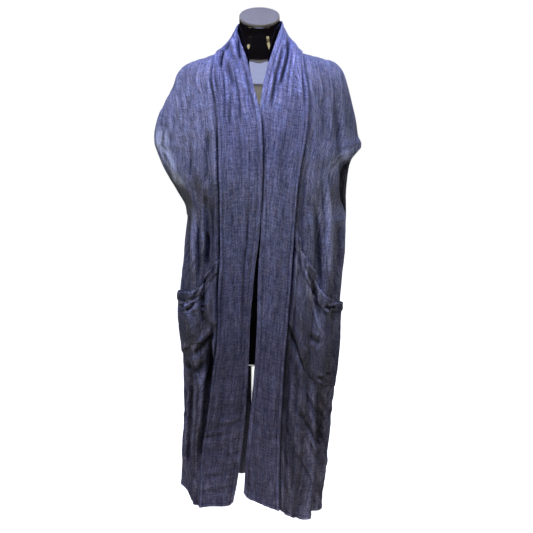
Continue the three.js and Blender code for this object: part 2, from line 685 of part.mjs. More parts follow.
const back = backGrid();
inset(back, 'column', 0, 1);
inset(back, 'column', BACK_COLUMNS, BACK_COLUMNS - 1);
inset(back, 'row', back.length - 1, back.length - 2);
add('coat_back', wall(back, WALL), cloth);

add('form_torso', formTorso(), gloss);
add('form_neck_cap', rings([capLoop(GAP), capLoop(CAP_THICK)]), capPlate);
add('form_pole', upright(POLE_RADIUS, BASE_THICK + GAP, FORM_BOTTOM - GAP), paint);
add('form_base', upright(BASE_RADIUS, 0, BASE_THICK), paint);

export default group;
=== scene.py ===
"""Long sleeveless duster coat in crinkled chambray gauze, hung open on a glossy limbless dress form.

Sizes are in millimetres, and MM turns them into metres where a mesh, light or camera is made.
Around the coat, phi runs from 0 at the front centre over +90 at its left side seam (+X) to 180 at the back.
"""
import math

import bpy
import numpy as np
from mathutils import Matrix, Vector


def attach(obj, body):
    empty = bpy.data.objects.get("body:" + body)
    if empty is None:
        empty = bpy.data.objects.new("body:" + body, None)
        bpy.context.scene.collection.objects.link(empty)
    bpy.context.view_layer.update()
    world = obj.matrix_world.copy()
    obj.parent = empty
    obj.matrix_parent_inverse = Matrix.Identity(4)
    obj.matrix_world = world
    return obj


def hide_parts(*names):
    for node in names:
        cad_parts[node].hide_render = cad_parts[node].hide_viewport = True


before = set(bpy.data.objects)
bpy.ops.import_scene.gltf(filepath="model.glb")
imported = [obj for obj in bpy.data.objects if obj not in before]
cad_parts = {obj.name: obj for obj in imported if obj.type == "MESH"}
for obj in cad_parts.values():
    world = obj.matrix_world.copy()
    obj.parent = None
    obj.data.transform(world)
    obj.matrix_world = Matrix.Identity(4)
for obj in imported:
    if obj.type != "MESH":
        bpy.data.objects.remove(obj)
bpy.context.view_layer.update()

MM = 0.001
RIGHT, LEFT = -1, 1
SIDE_NAMES = {RIGHT: "right", LEFT: "left"}

# Photograph and camera
IMAGE_SIDE = 533  # px
FOCAL_PX = 958
SENSOR = 36
CAMERA_PLACE = (17.7, -2500, 1550)
CAMERA_DOWN = 15.4  # degrees

# Driving sizes of the coat
CLOTH_THICK = 1.1
BAND_THICK = 1.9
HEM = 200
UNDERARM = 1005
TIP = 1196
TOP = 1424
NECK_DEPTH = 78
NECK_HALF = 110
NECK_RISE = 8
NECK_RUN = 150
NECK_BLEND = 60
HEM_FADE = 160
FOLD_START = 0.3
FOLD_AT_HEM = 1.35
FOLD_EASE = 22
TROUGH_WIDE = 15
BAND_FOLD_END = 0.22
STAND_FROM, STAND_TO = 1385, 1415
SEWN_SHARE = 0.3
LAP = 0.95
POCKET_BELLY = 17
SIDE_BELLY = 0.35
SIDE_ROUND = 0.75
MOUTH_ROUND = 6
BELLY_TOP = 0.9
MOUTH_OPEN = 13
CASING = 25
CASING_EDGE = 3
CASING_THICK = 1.6
CASING_STITCH = 3
POCKET_THICK = 1.2
SLANT_MOST = 2.4
RUNG_PITCH = 24  # gathers across the casing
# painted shade and light across the casing's gathers, and the painted shade inside the casing
RUNG_PAINTED_SHADE = 0.22
CASING_PAINTED_SHADE = 0.8

# The form
FORM_BOTTOM = 600
FORM_UNDER_COAT = 7
FORM_INSIDE = 2
CAP_CENTRE = 1511
CAP_RADIUS = 51
CAP_TILT = math.radians(24)
NECK_LEAN = -4
LEAN_FROM, LEAN_TO = 1400, 1475


def table(names, *rows):
    """Rows of numbers as named columns."""
    return {name: np.array([row[k] for row in rows], float) for k, name in enumerate(names.split())}


# Half widths, depths and roundness of the coat by height
COAT = table(
    "z right left front back round",
    (140, 217, 168, 142, 104, 2.2),
    (225, 218, 174, 141, 104, 2.2),
    (325, 214, 184, 139, 103, 2.2),
    (440, 206, 192, 137, 102, 2.2),
    (600, 208, 203, 134, 100, 2.25),
    (700, 209, 209, 132, 99, 2.3),
    (770, 212, 212, 131, 98, 2.3),
    (835, 208, 217, 131, 97, 2.3),
    (935, 199, 228, 132, 97, 2.3),
    (1005, 192, 229, 134, 98, 2.25),
    (1111, 240, 234, 138, 103, 2),
    (1196, 275, 265, 133, 106, 1.6),
    (1215, 275, 257, 131, 106, 1.55),
    (1256, 267, 250, 122, 106, 1.55),
    (1299, 246, 239, 109, 104, 1.65),
    (1340, 224, 228, 95, 100, 1.8),
    (1375, 209, 216, 79, 94, 1.95),
    (1391, 196, 204, 70, 90, 2),
    (1403, 172, 187, 61, 86, 2.1),
    (1412, 142, 158, 51, 82, 2.2),
    (1419, 126, 129, 45, 80, 2.3),
    (TOP, NECK_HALF, NECK_HALF, 40, NECK_DEPTH, 2.4),
)

# The open edges of the armholes: x and y of the front edge and of the back edge
ARMHOLES = {
    RIGHT: table(
        "z front_x front_y back_x back_y",
        (1005, 192, 0, 192, 0),
        (1030, 194, -20, 197, 24),
        (1080, 215, -42, 208, 52),
        (1111, 232, -46, 218, 58),
        (1141, 249, -38, 232, 52),
        (1170, 263, -22, 250, 30),
        (1196, 275, 0, 275, 0),
    ),
    LEFT: table(
        "z front_x front_y back_x back_y",
        (1005, 229, 0, 229, 0),
        (1030, 219, -26, 230, 22),
        (1080, 207, -60, 232, 46),
        (1111, 206, -66, 235, 52),
        (1141, 215, -56, 242, 46),
        (1168, 242, -38, 257, 28),
        (1183, 258, -20, 266, 14),
        (1196, 265, 0, 265, 0),
    ),
}

# Distance of the band seams from the centre
SEAMS = table(
    "z right left",
    (140, 171, 55),
    (267, 168, 55),
    (386, 158, 56),
    (459, 146, 58),
    (531, 136, 62),
    (616, 126, 66),
    (686, 115, 72),
    (809, 112, 80),
    (942, 104, 88),
    (1072, 103, 96),
    (1148, 104, 105),
    (1245, 106, 122),
    (1305, 110, 125),
    (1375, 121, 117),
    (TOP, NECK_HALF, NECK_HALF),
)

# The bands' free edges, against the height of the seam beside them. Past TOP the run goes round the neck.
EDGES = table(
    "run right left y z_right z_left",
    (140, -82, -52, -112, 160, 180),
    (200, -73, -45, -114, 212, 232),
    (330, -55, -39, -118, 335, 338),
    (450, -42, -29, -122, 450, 450),
    (600, -31, -15, -126, 600, 600),
    (740, -25, -7, -129, 740, 740),
    (870, -14, -4, -132, 870, 870),
    (1000, 1, 4, -137, 1000, 1000),
    (1123, 7, 5, -142, 1123, 1123),
    (1196, 8, 5, -138, 1196, 1196),
    (1285, 3, 1, -119, 1285, 1285),
    (1345, -14, 9, -98, 1350, 1352),
    (1382, -24, 19, -82, 1390, 1394),
    (1405, -33, 30, -68, 1422, 1428),
    (TOP, -50, 44, -44, 1457, 1466),
    (1452, -56, 55, -12, 1482, 1493),
    (1482, -55, 57, 22, 1495, 1503),
    (1515, -38, 40, 50, 1501, 1505),
    (1545, -18, 18, 62, 1504, 1505),
    (1574, 0, 0, 65, 1504, 1504),
)
# How far each free edge comes forward where the two bands meet
OVERLAP = table("run right left", (1000, 0, 0), (1123, 3, -1), (1196, 4, -1), (1290, 4, -1), (1350, 0, 0))
# How far the middle of a band stands out from the line between its two edges
BULGE = table(
    "run out", (140, 9), (600, 8), (1000, 9), (1250, 8), (1345, 9), (1405, 7), (1452, 1), (1574, -3)
)
HEMLINE = table(
    "phi z",
    *((-180, 192), (-120, 196), (-97, 234), (-84, 238), (-74, 232), (-71, 222), (-67, 188), (-56, 182)),
    *((-47, 196), (0, 205), (15, 205), (24, 176), (45, 158), (70, 160), (90, 178), (130, 194), (180, 192)),
)

# Hanging folds: phi at the two ends, the heights of both, width in degrees, depth in millimetres
FOLDS = (
    (-42, -47, 1260, 120, 5, -9),
    (-52, -56, 1230, 120, 6, 10),
    (-62, -66, 1040, 120, 5, -9),
    (-74, -77, 1000, 120, 6, 8),
    (-88, -90, 940, 120, 6, -6),
    (-100, -103, 1110, 120, 7, 8),
    (-113, -117, 1290, 120, 6, -11),
    (-126, -130, 1240, 120, 7, 11),
    (-140, -143, 1180, 120, 5, -8),
    (-152, -155, 1330, 120, 7, 9),
    (-168, -167, 1220, 120, 5, -9),
    (178, 180, 1340, 120, 7, 10),
    (163, 165, 1150, 120, 5, -8),
    (151, 152, 1310, 120, 7, 10),
    (138, 137, 1200, 120, 6, -11),
    (124, 123, 1270, 120, 7, 9),
    (110, 112, 1100, 120, 5, -8),
    (98, 97, 980, 120, 6, 7),
    (84, 85, 960, 120, 5, -7),
    (73, 74, 1080, 120, 6, 9),
    (61, 62, 1130, 120, 5, -9),
    (50, 49, 1180, 120, 5, 10),
    (38, 38, 1160, 120, 5, -11),
)
TROUGHS = table(
    "z right left",
    (120, -26, -20),
    (330, -24, -19),
    (650, -18, -17),
    (860, -8, -12),
    (1000, -9, -14),
    (1120, -8, -12),
    (1250, -3, -5),
    (1380, 0, 0),
)
# Soft folds along the bands: place across at the two ends of the run, the ends, width and depth
BAND_FOLDS = {
    LEFT: (
        (0.86, 0.55, 1130, 1500, 0.1, -4),
        (0.55, 0.3, 1180, 1480, 0.1, 4),
        (0.35, 0.5, 150, 980, 0.14, 2.5),
    ),
    RIGHT: (
        (0.3, 0.62, 1150, 1480, 0.1, -4),
        (0.65, 0.85, 1200, 1490, 0.1, 3.5),
        (0.8, 0.7, 240, 960, 0.12, 2.5),
    ),
}
# Patch pockets: mouth and bottom heights against the place across the panel
POCKETS = {
    LEFT: table(
        "u mouth bottom",
        (0.02, 982, 740),
        (0.1, 938, 690),
        (0.22, 880, 622),
        (0.335, 836, 582),
        (0.455, 803, 560),
        (0.65, 782, 543),
        (0.86, 773, 530),
        (0.985, 768, 522),
    ),
    RIGHT: table(
        "u mouth bottom",
        (0.02, 912, 740),
        (0.124, 884, 705),
        (0.22, 855, 688),
        (0.3, 835, 680),
        (0.41, 818, 670),
        (0.71, 806, 642),
        (0.9, 801, 612),
        (0.985, 799, 598),
    ),
}
FORM = table(
    "z half front back round",
    (FORM_BOTTOM, 128, 72, 66, 2.1),
    (604, 140, 82, 73, 2.1),
    (620, 150, 90, 78, 2.1),
    (680, 161, 98, 80, 2.1),
    (780, 168, 103, 80, 2.1),
    (850, 164, 104, 78, 2.1),
    (930, 142, 98, 72, 2.1),
    (1010, 122, 92, 69, 2.1),
    (1080, 134, 102, 76, 2.1),
    (1160, 148, 120, 83, 2.1),
    (1230, 160, 112, 92, 2),
    (1290, 180, 96, 90, 1.9),
    (1330, 192, 83, 85, 1.8),
    (1360, 195, 73, 80, 1.75),
    (1382, 190, 64, 74, 1.67),
    (1401, 180, 57, 67, 1.58),
    (1413, 140, 53, 59, 1.58),
    (1423, 94, 52, 54, 1.75),
    (1434, 70, 51, 52, 1.9),
    (1450, 56, 48, 49, 2),
    (1475, 50, 44, 48, 2),
)

# Creases placed on the front or the back: half width, depth, shade, then the (x, z) points of
# the route. A negative depth is a groove between two soft lips, a positive one a ridge. The shade is the
# painted shade in its middle, how much darker its colour is painted, and below 0 a painted highlight,
# how much paler; with None the depth decides. Its lips get a painted highlight.
CREASES = {
    "coat_front_right": (
        (8, -8, 0.5, (-128, 1251), (-132, 1193), (-136, 1091)),
        (5, -5, None, (-177, 1215), (-175, 1163), (-178, 1116)),
        (5, -6, 0.6, (-156, 1015), (-160, 957), (-158, 898), (-162, 835)),
        (6, -8, 0.7, (-133, 985), (-136, 929), (-137, 880)),
        (6, 6, -0.3, (-146, 1110), (-147, 1000), (-148, 900)),
        (6, 5, -0.25, (-170, 1060), (-172, 960), (-176, 840)),
        (5, -4, 0.4, (-182, 1040), (-184, 960), (-190, 870)),
        (7, -12, 0.75, (-132, 690), (-136, 605), (-143, 531), (-152, 456), (-165, 362), (-176, 260)),
        (7, -7, 0.5, (-184, 590), (-193, 443), (-205, 270)),
        (8, 7, None, (-158, 600), (-163, 511), (-172, 400)),
        (7, 5, -0.2, (-196, 520), (-204, 400), (-212, 280)),
        (7, -4, None, (-170, 1330), (-190, 1270), (-205, 1210)),
        (8, -4, None, (-205, 1290), (-222, 1240), (-232, 1190)),
        (9, 3, None, (-150, 1380), (-160, 1310), (-165, 1250)),
        (7, -4, 0.85, (-122, 712), (-137, 688), (-157, 663), (-186, 632)),
        (5, -8, 0.85, (-129, 720), (-132, 662), (-133, 606), (-140, 525)),
        (7, 2, 0.3, (-192, 626), (-166, 637), (-148, 660)),
        (11, -6, 0.85, (-214, 600), (-190, 592), (-164, 598), (-142, 630)),
        (9, -3, 0.5, (-204, 566), (-184, 570), (-160, 582)),
        (6, -3, None, (-214, 470), (-190, 430), (-178, 395)),
        (6, 3, None, (-210, 330), (-196, 290), (-190, 250)),
        (2.5, 2, -0.45, (-141, 1110), (-145, 1010), (-146, 900)),
        (2.5, -2, 0.4, (-151, 1060), (-154, 980), (-154, 880)),
        (2.5, 2, -0.35, (-166, 1060), (-169, 960), (-170, 850)),
        (2.5, -2, 0.5, (-119, 1060), (-120, 960), (-123, 900)),
        (3, 2, -0.35, (-176, 590), (-184, 470), (-192, 350), (-198, 270)),
        (3, -3, 0.6, (-166, 600), (-173, 480), (-181, 350), (-188, 240)),
        (2.5, 2, -0.4, (-146, 560), (-152, 470), (-160, 380)),
        (3, -3, 0.6, (-200, 560), (-207, 440), (-213, 320)),
        (2.5, 1.5, -0.2, (-205, 1330), (-175, 1280), (-150, 1230)),
    ),
    "coat_front_left": (
        (7, -9, 0.7, (111, 1215), (104, 1121), (97, 1044), (93, 950)),
        (7, 8, -0.3, (169, 1140), (177, 1009), (181, 901), (183, 790)),
        (8, -8, 0.5, (144, 1070), (147, 987), (151, 907), (160, 815)),
        (9, -7, 0.5, (191, 1345), (199, 1238), (212, 1134), (217, 1015)),
        (6, -4, 0.4, (206, 1010), (210, 930), (211, 850)),
        (9, 7, None, (115, 580), (116, 467), (114, 350)),
        (8, -9, 0.6, (156, 570), (160, 457), (167, 345)),
        (6, -4, None, (121, 467), (150, 401), (180, 325)),
        (6, -4, None, (125, 409), (153, 346), (186, 274)),
        (5, 3, None, (108, 400), (132, 330), (158, 250)),
        (5, 3, None, (140, 430), (166, 370), (184, 320)),
        (7, -7, 0.55, (88, 420), (92, 330), (90, 240)),
        (8, -4, None, (150, 1330), (165, 1270), (172, 1200)),
        (7, 4, None, (130, 1290), (140, 1230), (146, 1160)),
        (6, -4, 0.85, (72, 775), (79, 734), (90, 694), (104, 655), (117, 624), (137, 585), (162, 543)),
        (7, -5, 0.5, (92, 640), (100, 560), (98, 470)),
        (7, -6, 0.85, (82, 740), (77, 680), (72, 610), (68, 540), (64, 440)),
        (3, 2, -0.45, (92, 560), (120, 500), (152, 440), (186, 372)),
        (3, -2.5, 0.45, (88, 520), (116, 462), (150, 398), (184, 330)),
        (3, 2, -0.4, (84, 470), (112, 418), (140, 360), (178, 296)),
        (3, -2, 0.4, (110, 560), (138, 505), (170, 452), (192, 405)),
        (2.5, 2, -0.35, (126, 545), (154, 500), (186, 448)),
        (3, -2, 0.35, (84, 400), (104, 352), (132, 296), (160, 240)),
        (2.5, 2, -0.4, (134, 560), (134, 440), (130, 320)),
        (2.5, 2, -0.35, (172, 1130), (180, 1010), (184, 900), (186, 800)),
        (3, -2.5, 0.45, (158, 1120), (166, 1010), (168, 920)),
        (2.5, 1.5, -0.3, (120, 1180), (140, 1060), (166, 960), (196, 860)),
    ),
    "coat_back": (
        (9, -5, None, (-60, 1390), (-78, 1290), (-84, 1180)),
        (9, -5, None, (48, 1380), (70, 1260), (76, 1150)),
        (9, 5, None, (-150, 1370), (-140, 1290), (-128, 1200)),
        (9, 5, None, (158, 1360), (146, 1270), (138, 1190)),
        (8, -6, None, (-205, 1280), (-196, 1200), (-186, 1100)),
        (8, -6, None, (206, 1270), (200, 1190), (194, 1080)),
        (7, 6, None, (-22, 1240), (-30, 1080), (-26, 900)),
        (6, -6, None, (20, 1100), (26, 960), (22, 800)),
        (7, -7, None, (-112, 1080), (-118, 940), (-116, 780)),
        (7, 6, None, (108, 1040), (112, 880), (110, 700)),
        (7, 7, None, (-160, 900), (-165, 760), (-170, 600)),
        (7, -7, None, (164, 860), (168, 700), (170, 520)),
        (7, -7, None, (-60, 780), (-64, 620), (-70, 430)),
        (7, 6, None, (58, 720), (62, 560), (66, 380)),
        (7, -6, None, (-8, 640), (-4, 500), (-8, 300)),
        (7, 6, None, (-132, 520), (-138, 400), (-142, 260)),
        (7, -6, None, (126, 480), (130, 380), (130, 260)),
    ),
    "band_right": (
        (4, -4, 0.55, (-19, 1130), (-29, 1031), (-32, 953), (-40, 908), (-43, 833), (-46, 723), (-52, 600)),
        (5, -8, 0.97, (-75, 1468), (-81, 1451), (-88, 1434)),
        (3, 2, -0.35, (-80, 1472), (-90, 1456), (-100, 1438)),
        (4.5, -7, 0.95, (-89, 1440), (-96, 1419), (-98, 1390)),
        (4, -7, 0.92, (-58, 1478), (-51, 1441), (-47, 1408)),
        (5, 4, -0.25, (-66, 1466), (-62, 1440), (-60, 1410)),
        (4, 3, -0.3, (-50, 1474), (-41, 1444), (-32, 1418)),
        (6, -6, 0.6, (-82, 1416), (-75, 1389), (-70, 1371), (-60, 1343)),
        (4, -3, 0.5, (-70, 1345), (-72, 1307), (-75, 1245)),
        (3.5, -2, 0.45, (-25, 1350), (-19, 1320), (-13, 1290)),
        (6, 4, None, (-106, 1416), (-103, 1378), (-97, 1330)),
        (8, -2.5, None, (-62, 1300), (-52, 1190), (-50, 1060)),
        (9, 2.5, None, (-80, 1000), (-78, 860), (-84, 700)),
        (8, -3, 0.4, (-97, 880), (-102, 800), (-107, 700)),
        (9, -3, 0.3, (-96, 620), (-108, 480), (-124, 330)),
        (8, 3, None, (-70, 520), (-78, 430), (-84, 330)),
        (3, -3, 0.45, (-100, 1420), (-90, 1370), (-86, 1320), (-88, 1250)),
        (3, -3, 0.45, (-66, 1410), (-58, 1360), (-50, 1310), (-46, 1240)),
        (2.5, 2, -0.3, (-52, 1410), (-42, 1370), (-32, 1320), (-26, 1260)),
        (2.5, 2, -0.3, (-76, 1420), (-66, 1380), (-57, 1340), (-52, 1280)),
        (2.5, 2, -0.25, (-94, 1400), (-84, 1350), (-80, 1290)),
        (2.5, -2, 0.4, (-36, 1400), (-28, 1350), (-22, 1290)),
    ),
    "band_left": (
        (4.5, -8, 0.88, (76, 1478), (71, 1431), (64, 1403), (56, 1376), (48, 1340)),
        (4, -7, 0.8, (62, 1452), (54, 1417), (46, 1389), (39, 1357), (27, 1295)),
        (3.5, 4, -0.3, (69, 1445), (61, 1408), (52, 1376), (42, 1340)),
        (4, -3, 0.4, (108, 1413), (109, 1366), (113, 1290)),
        (7, 4, -0.15, (94, 1440), (96, 1408), (98, 1366), (102, 1310)),
        (9, -2.5, None, (60, 1270), (56, 1160), (60, 1040)),
        (9, 2.5, None, (36, 1060), (40, 900), (36, 740)),
        (9, -3, None, (24, 620), (14, 480), (4, 330)),
        (8, 2, None, (50, 760), (42, 600), (36, 460)),
        (2.5, -2.5, 0.45, (84, 1460), (80, 1420), (72, 1370), (66, 1310)),
        (2.5, 2, -0.3, (90, 1450), (86, 1410), (80, 1360), (76, 1290)),
        (2.5, 2, -0.3, (48, 1440), (40, 1400), (30, 1360), (20, 1310)),
        (2.5, 2, -0.3, (100, 1400), (104, 1340), (112, 1270)),
        (3.5, -1, 0.9, (0, 1330), (6, 1290), (11, 1200), (10, 1120), (5, 1000)),
    ),
    "pocket_right": (
        (4, -5, 0.97, (-222, 768), (-208, 768), (-194, 770), (-180, 780), (-166, 798)),
        (4.5, -4, 0.9, (-184, 794), (-163, 813)),
        (2.8, 1.5, -1.7, (-226, 780), (-212, 776), (-200, 776), (-188, 784), (-176, 798)),
        (7, -3, 0.6, (-138, 858), (-155, 836)),
        (8, -5, 0.45, (-154, 823), (-150, 769), (-140, 715)),
        (11, 2, -2.4, (-222, 570), (-213, 605), (-207, 636), (-198, 672)),
        (6, 3, -0.3, (-188, 645), (-163, 673), (-143, 701), (-124, 730)),
        (8, 5, None, (-190, 770), (-182, 730), (-176, 690)),
        (7, 4, -0.15, (-126, 840), (-138, 790), (-146, 740)),
        (2.5, 1.5, -0.6, (-128, 905), (-152, 868), (-172, 838), (-196, 806)),
        (2.5, -1.5, 0.55, (-124, 880), (-140, 856), (-162, 826), (-186, 796)),
        (2.5, 1, -0.45, (-121, 872), (-138, 848), (-160, 818), (-182, 790)),
    ),
    "pocket_left": (
        (3.2, 3, -1.0, (104, 938), (120, 873), (131, 831), (139, 780), (154, 730), (186, 677)),
        (6, -4, 0.35, (119, 905), (129, 871), (141, 829), (150, 780), (166, 733)),
        (4, -5, 0.95, (170, 785), (186, 772), (204, 761)),
        (3, 1, -0.9, (178, 789), (204, 771)),
        (8, -3, 0.5, (124, 712), (140, 691), (166, 682)),
        (4, 1.5, -0.4, (147, 650), (165, 684)),
        (4, 2, -0.25, (112, 675), (134, 656)),
        (5, -5, 0.6, (150, 584), (172, 576), (196, 572)),
        (8, -1.5, None, (186, 770), (180, 720), (184, 670)),
        (8, 4, -0.15, (96, 860), (101, 790), (112, 720)),
        (2.5, 1.5, -0.6, (100, 968), (112, 916), (140, 855), (174, 792)),
        (2.5, -1.5, 0.55, (96, 930), (108, 884), (134, 828), (164, 776)),
        (2.5, 1, -0.5, (93, 922), (104, 877), (130, 822), (160, 770)),
    ),
}
LIP_SHARE = 0.4  # height of a crease's lips, as a share of its depth
LIP_PLACE = 2.1  # their distance from its middle, in half widths
LIP_PAINTED_HIGHLIGHT = 0.3  # painted highlight on the lips, as a share of the crease's painted shade
CREASE_END = 0.25
SIDE_SOFT = 12  # creases of the front and the back fade this far past the coat's side
GROOVE_BLACK = 15  # depth at which a groove without a shade of its own would be painted black
# depth at which a ridge without a shade of its own would be painted twice as bright, a painted highlight
RIDGE_PALE = 45

# Painted light and shade by height: how much brighter or darker each piece's colour is painted than its
# neighbours
PAINTED_LIGHT_BY_HEIGHT = table(
    "z panel_right panel_left band_right band_left",
    (200, 1.35, 1.6, 1.25, 1.35),
    (300, 1.45, 1.15, 1.02, 1.1),
    (400, 1.45, 0.95, 0.95, 1.1),
    (500, 1.3, 0.87, 0.87, 1),
    (620, 0.95, 0.92, 0.78, 0.95),
    (740, 1, 1, 0.85, 1.05),
    (850, 0.88, 1.08, 1, 1.2),
    (950, 0.82, 1.25, 1.05, 1.15),
    (1040, 0.95, 1.17, 1.15, 1.28),
    (1120, 1.08, 1.03, 1.04, 1.05),
    (1180, 1.12, 0.9, 0.88, 0.82),
    (1240, 1.2, 0.88, 0.92, 0.82),
    (1330, 1.17, 1.06, 1.02, 1.17),
    (1400, 1.04, 1.03, 1.02, 1.22),
)
BACK_PAINTED_LIGHT = (0.72, 1.2)  # painted light on the back, darker at the hem and brighter at the neck: the factors at the hem and at the neck
INNER_PAINTED_SHADE = 0.5  # painted shade on the cloth's inner side: how bright it is painted beside its outer side

# How deep the band seams sink, and how dark the painted shade in them is, by height
SEAM_SLOTS = table(
    "z right left dark_right dark_left",
    (120, 7, 6, 0.7, 0.6),
    (450, 7, 6, 0.75, 0.75),
    (650, 8, 7, 0.8, 0.9),
    (780, 8, 7, 0.85, 0.6),
    (930, 9, 8, 0.96, 0.75),
    (1060, 8, 8, 0.92, 0.8),
    (1170, 5, 6, 0.7, 0.65),
    (1215, 4, 4, 0.9, 0.4),
    (1262, 3, 3, 0.5, 0.2),
    (1300, 2.5, 3, 0.4, 0.25),
    (1338, 2.5, 2.5, 0.75, 0.3),
    (1372, 2, 2, 0.4, 0.35),
    (TOP, 1.5, 1.5, 0.2, 0.25),
)
SEAM_LIFT = 2.4  # how far the band swells beside its seam
SEAM_SWELL = 34  # and over what width
SEAM_ROLL = 4.5  # width of the band's rolled edge there
SEAM_GROOVE = 11  # width of the panel's groove beside it
SEAM_PAINTED_SHADE = {"band": 3.2, "panel": 5}  # width of the painted shade on either side
SEAM_STRIP = {"band": (8, 4, 0.14), "panel": (12, 4.5, 0.3)}  # the strip's place, half width and the paleness of its painted highlight
NECK_SLOT = 1.5
FOLD_PAINTED_SHADE = 0.016  # painted shade and light for each millimetre of a hanging fold, darker in its groove and paler on its ridge
# fold depths beyond which the painted shading grows no more
FOLD_PAINTED_SHADE_LIMITS = (-18, 9)
# painted shade in the crinkle's furrows and painted light on its ridges, for each millimetre
CRINKLE_PAINTED_SHADE = 0.055
FURROWS = ((0.8, 8, 60), (1.2, 17, 130), (2.2, 42, 240))  # height, size across and along
# Slanting wrinkles: degrees from the lengthwise thread, where they fade above the hem, height and painted
# shading
RIPPLES = {
    "panel": (34, 260, 460, 1, 0.3),
    "back": (24, 240, 420, 0.8, 0.1),
    "band": (80, 200, 460, 0.9, 0.2),
}
LINE_SPACE = 7  # one thin crease for this much width
LINE_LEAN = (-0.08, 0.08)
LINE_LONG = (90, 520)
LINE_WIDE = (0.8, 1.7)
LINE_STRONG = (0.35, 1)
LINE_FROM, LINE_TO = -80, 60  # where they start, beyond the hem and short of the top
LINE_PAIR = 1.6  # the distance of the pale line, a ridge with a painted highlight, in widths
LINE_END = 0.3
LINE_DEEP = 1.1
# painted shade in a thin crease and painted highlight on the pale line beside it
LINE_PAINTED_SHADE = 0.38
HEM_WIDE = 11
BAND_STRIP = 13
HEM_RAISED = 1.2
STRIP_STEP = 0.8
STITCH_DIP = 1.1
STITCH_DIP_WIDE = 1.6
# painted highlight on a raised folded strip
STRIP_PAINTED_HIGHLIGHT = 0.14
# painted shade in the dip of a stitch line
STITCH_PAINTED_SHADE = 0.52
HEM_WAVE = 5  # how far the hems wander up and down, and in and out
WAVE_LONG, WAVE_HIGH = 47, 70
CURL_LONG, CURL_HIGH = 34, 55
HEM_CALM = 25
HEM_CORNER = (9, 16)  # how much the hems rise at a corner, and over what width
EDGE_CALM = 9  # crinkles fade this close to a sewn edge
# Thin cloth by the armholes, painted paler where the light behind shows through it: strength, and the heights
# where it starts and ends
SHEER = {RIGHT: (1, 1085, 1248), LEFT: (0.35, 1120, 1200)}
SHEER_FROM, SHEER_TO = 9, 76

STITCH_PITCH = 4
STITCH_LONG = 2.8
STITCH_WIDE = 0.5
STITCH_OUT = 0.2
STITCH_SET = 1  # the stitch line's distance inside a strip's edge
ALL = np.s_[:]  # a whole grid

# Heights of the rows of the panels, and their columns
HEM_STEPS = (24, 2)
ROW_STEPS = ((UNDERARM, 4.2), (TIP, 4.2), (1375, 4.2), (1403, 2.4), (1423.4, 1.5))
FRONT_COLUMNS = 128
BACK_COLUMNS = 150
BAND_COLUMNS = 60
NECK_ROWS = 60
POCKET_COLUMNS = 104
POCKET_ROWS = 92
FORM_SIDES = 96
FORM_ROWS = 130

SEAM_CROWD = 0.4  # how much closer the panels' columns lie at the band seam


# Colours: the dark, middle and pale threads of the cloth, and the dark and pale grain of the form
PANEL_COLOURS = ((0.035, 0.033, 0.05), (0.125, 0.118, 0.174), (0.275, 0.262, 0.35))
BAND_COLOURS = ((0.035, 0.034, 0.055), (0.122, 0.116, 0.19), (0.257, 0.246, 0.385))
# the pale colour of light seen through the thin cloth by the armholes, a painted light
SEE_THROUGH_PAINTED_COLOUR = (0.5, 0.5, 0.68)
CAP_COLOURS = ((0.185, 0.152, 0.12), (0.235, 0.196, 0.15))
STAND_COLOURS = ((0.86, 0.86, 0.85), (0.93, 0.93, 0.92))

# The world's colour and strength for the cloth, in the gloss and behind the part
DIM_LIGHT = ((1, 0.97, 0.95), 0.03)
GLOSS_LIGHT = ((0.016, 0.012, 0.012), 1)
WHITE_LIGHT = ((1, 1, 1), 1)
FLOOR_HALF = 9000

# Lamps, in metres and watts: place, target, size, power, colour and spread in degrees
CLOTH_LAMPS = {
    "key_top": ((-0.1, -0.45, 2.45), (0, -0.05, 1.2), (0.8, 0.6), 27, (0.24, 0.345, 1.0), 180),
    "key_left": ((-1.0, -1.0, 2.3), (-0.1, 0, 1.3), (0.6, 0.5), 2.4, (0.9, 0.97, 0.84), 60),
    "key_right": ((1.0, -1.0, 2.3), (0.1, 0, 1.3), (0.6, 0.5), 2.2, (0.9, 0.97, 0.88), 60),
    "hem": ((0, -1.4, 0.35), (0, 0, 0.25), (0.8, 0.3), 0.45, (1.0, 0.92, 0.85), 60),
    "back_right": ((-1.9, 2.2, 2.4), (0, 0.1, 0.85), (0.7, 1.2), 18, (0.72, 0.78, 1.0), 180),
    "back_left": ((1.9, 2.2, 2.4), (0, 0.1, 0.85), (0.7, 1.2), 44, (0.72, 0.78, 1.0), 180),
}
GLOSS_LAMPS = {
    "window_high": ((-0.05, -1.94, 3.03), (0, -0.065, 1.38), (1.5, 0.7), 41, (0.58, 0.64, 1.0), 180),
    "window_low": ((-0.03, -2.39, 2.73), (0, -0.08, 1.335), (1.2, 0.14), 1.9, (1.0, 0.94, 0.78), 180),
    "window_step": ((0, -2.35, 2.39), (0, -0.053, 1.41), (2.2, 0.5), 7, (0.95, 0.9, 1.0), 180),
    "window_left": ((-1.81, -1.59, 2.27), (-0.03, -0.047, 1.44), (0.6, 0.4), 7, (1.0, 0.9, 0.55), 180),
    "window_right": ((1.66, -1.81, 2.13), (0.02, -0.049, 1.44), (0.6, 0.35), 6, (1.0, 0.9, 0.55), 180),
}
STAND_LAMPS = {
    "stand_front": ((0, -3, 0.9), (0, 0, 0.1), (3, 1), 1500, (1, 1, 1), 180),
    "stand_back": ((0, 3, 0.9), (0, 0, 0.1), (3, 1), 45, (1, 1, 1), 180),
}

SEEDS = {
    "coat_front_left": 11,
    "coat_front_right": 31,
    "coat_back": 51,
    "band_left": 71,
    "band_right": 91,
    "pocket_left": 111,
    "pocket_right": 131,
}


def clamp(value, low=0.0, high=1.0):
    return np.clip(value, low, high)


def lerp(a, b, share):
    return a + (b - a) * share


def smooth(value, low, high):
    share = clamp((value - low) / (high - low))
    return share * share * (3 - 2 * share)


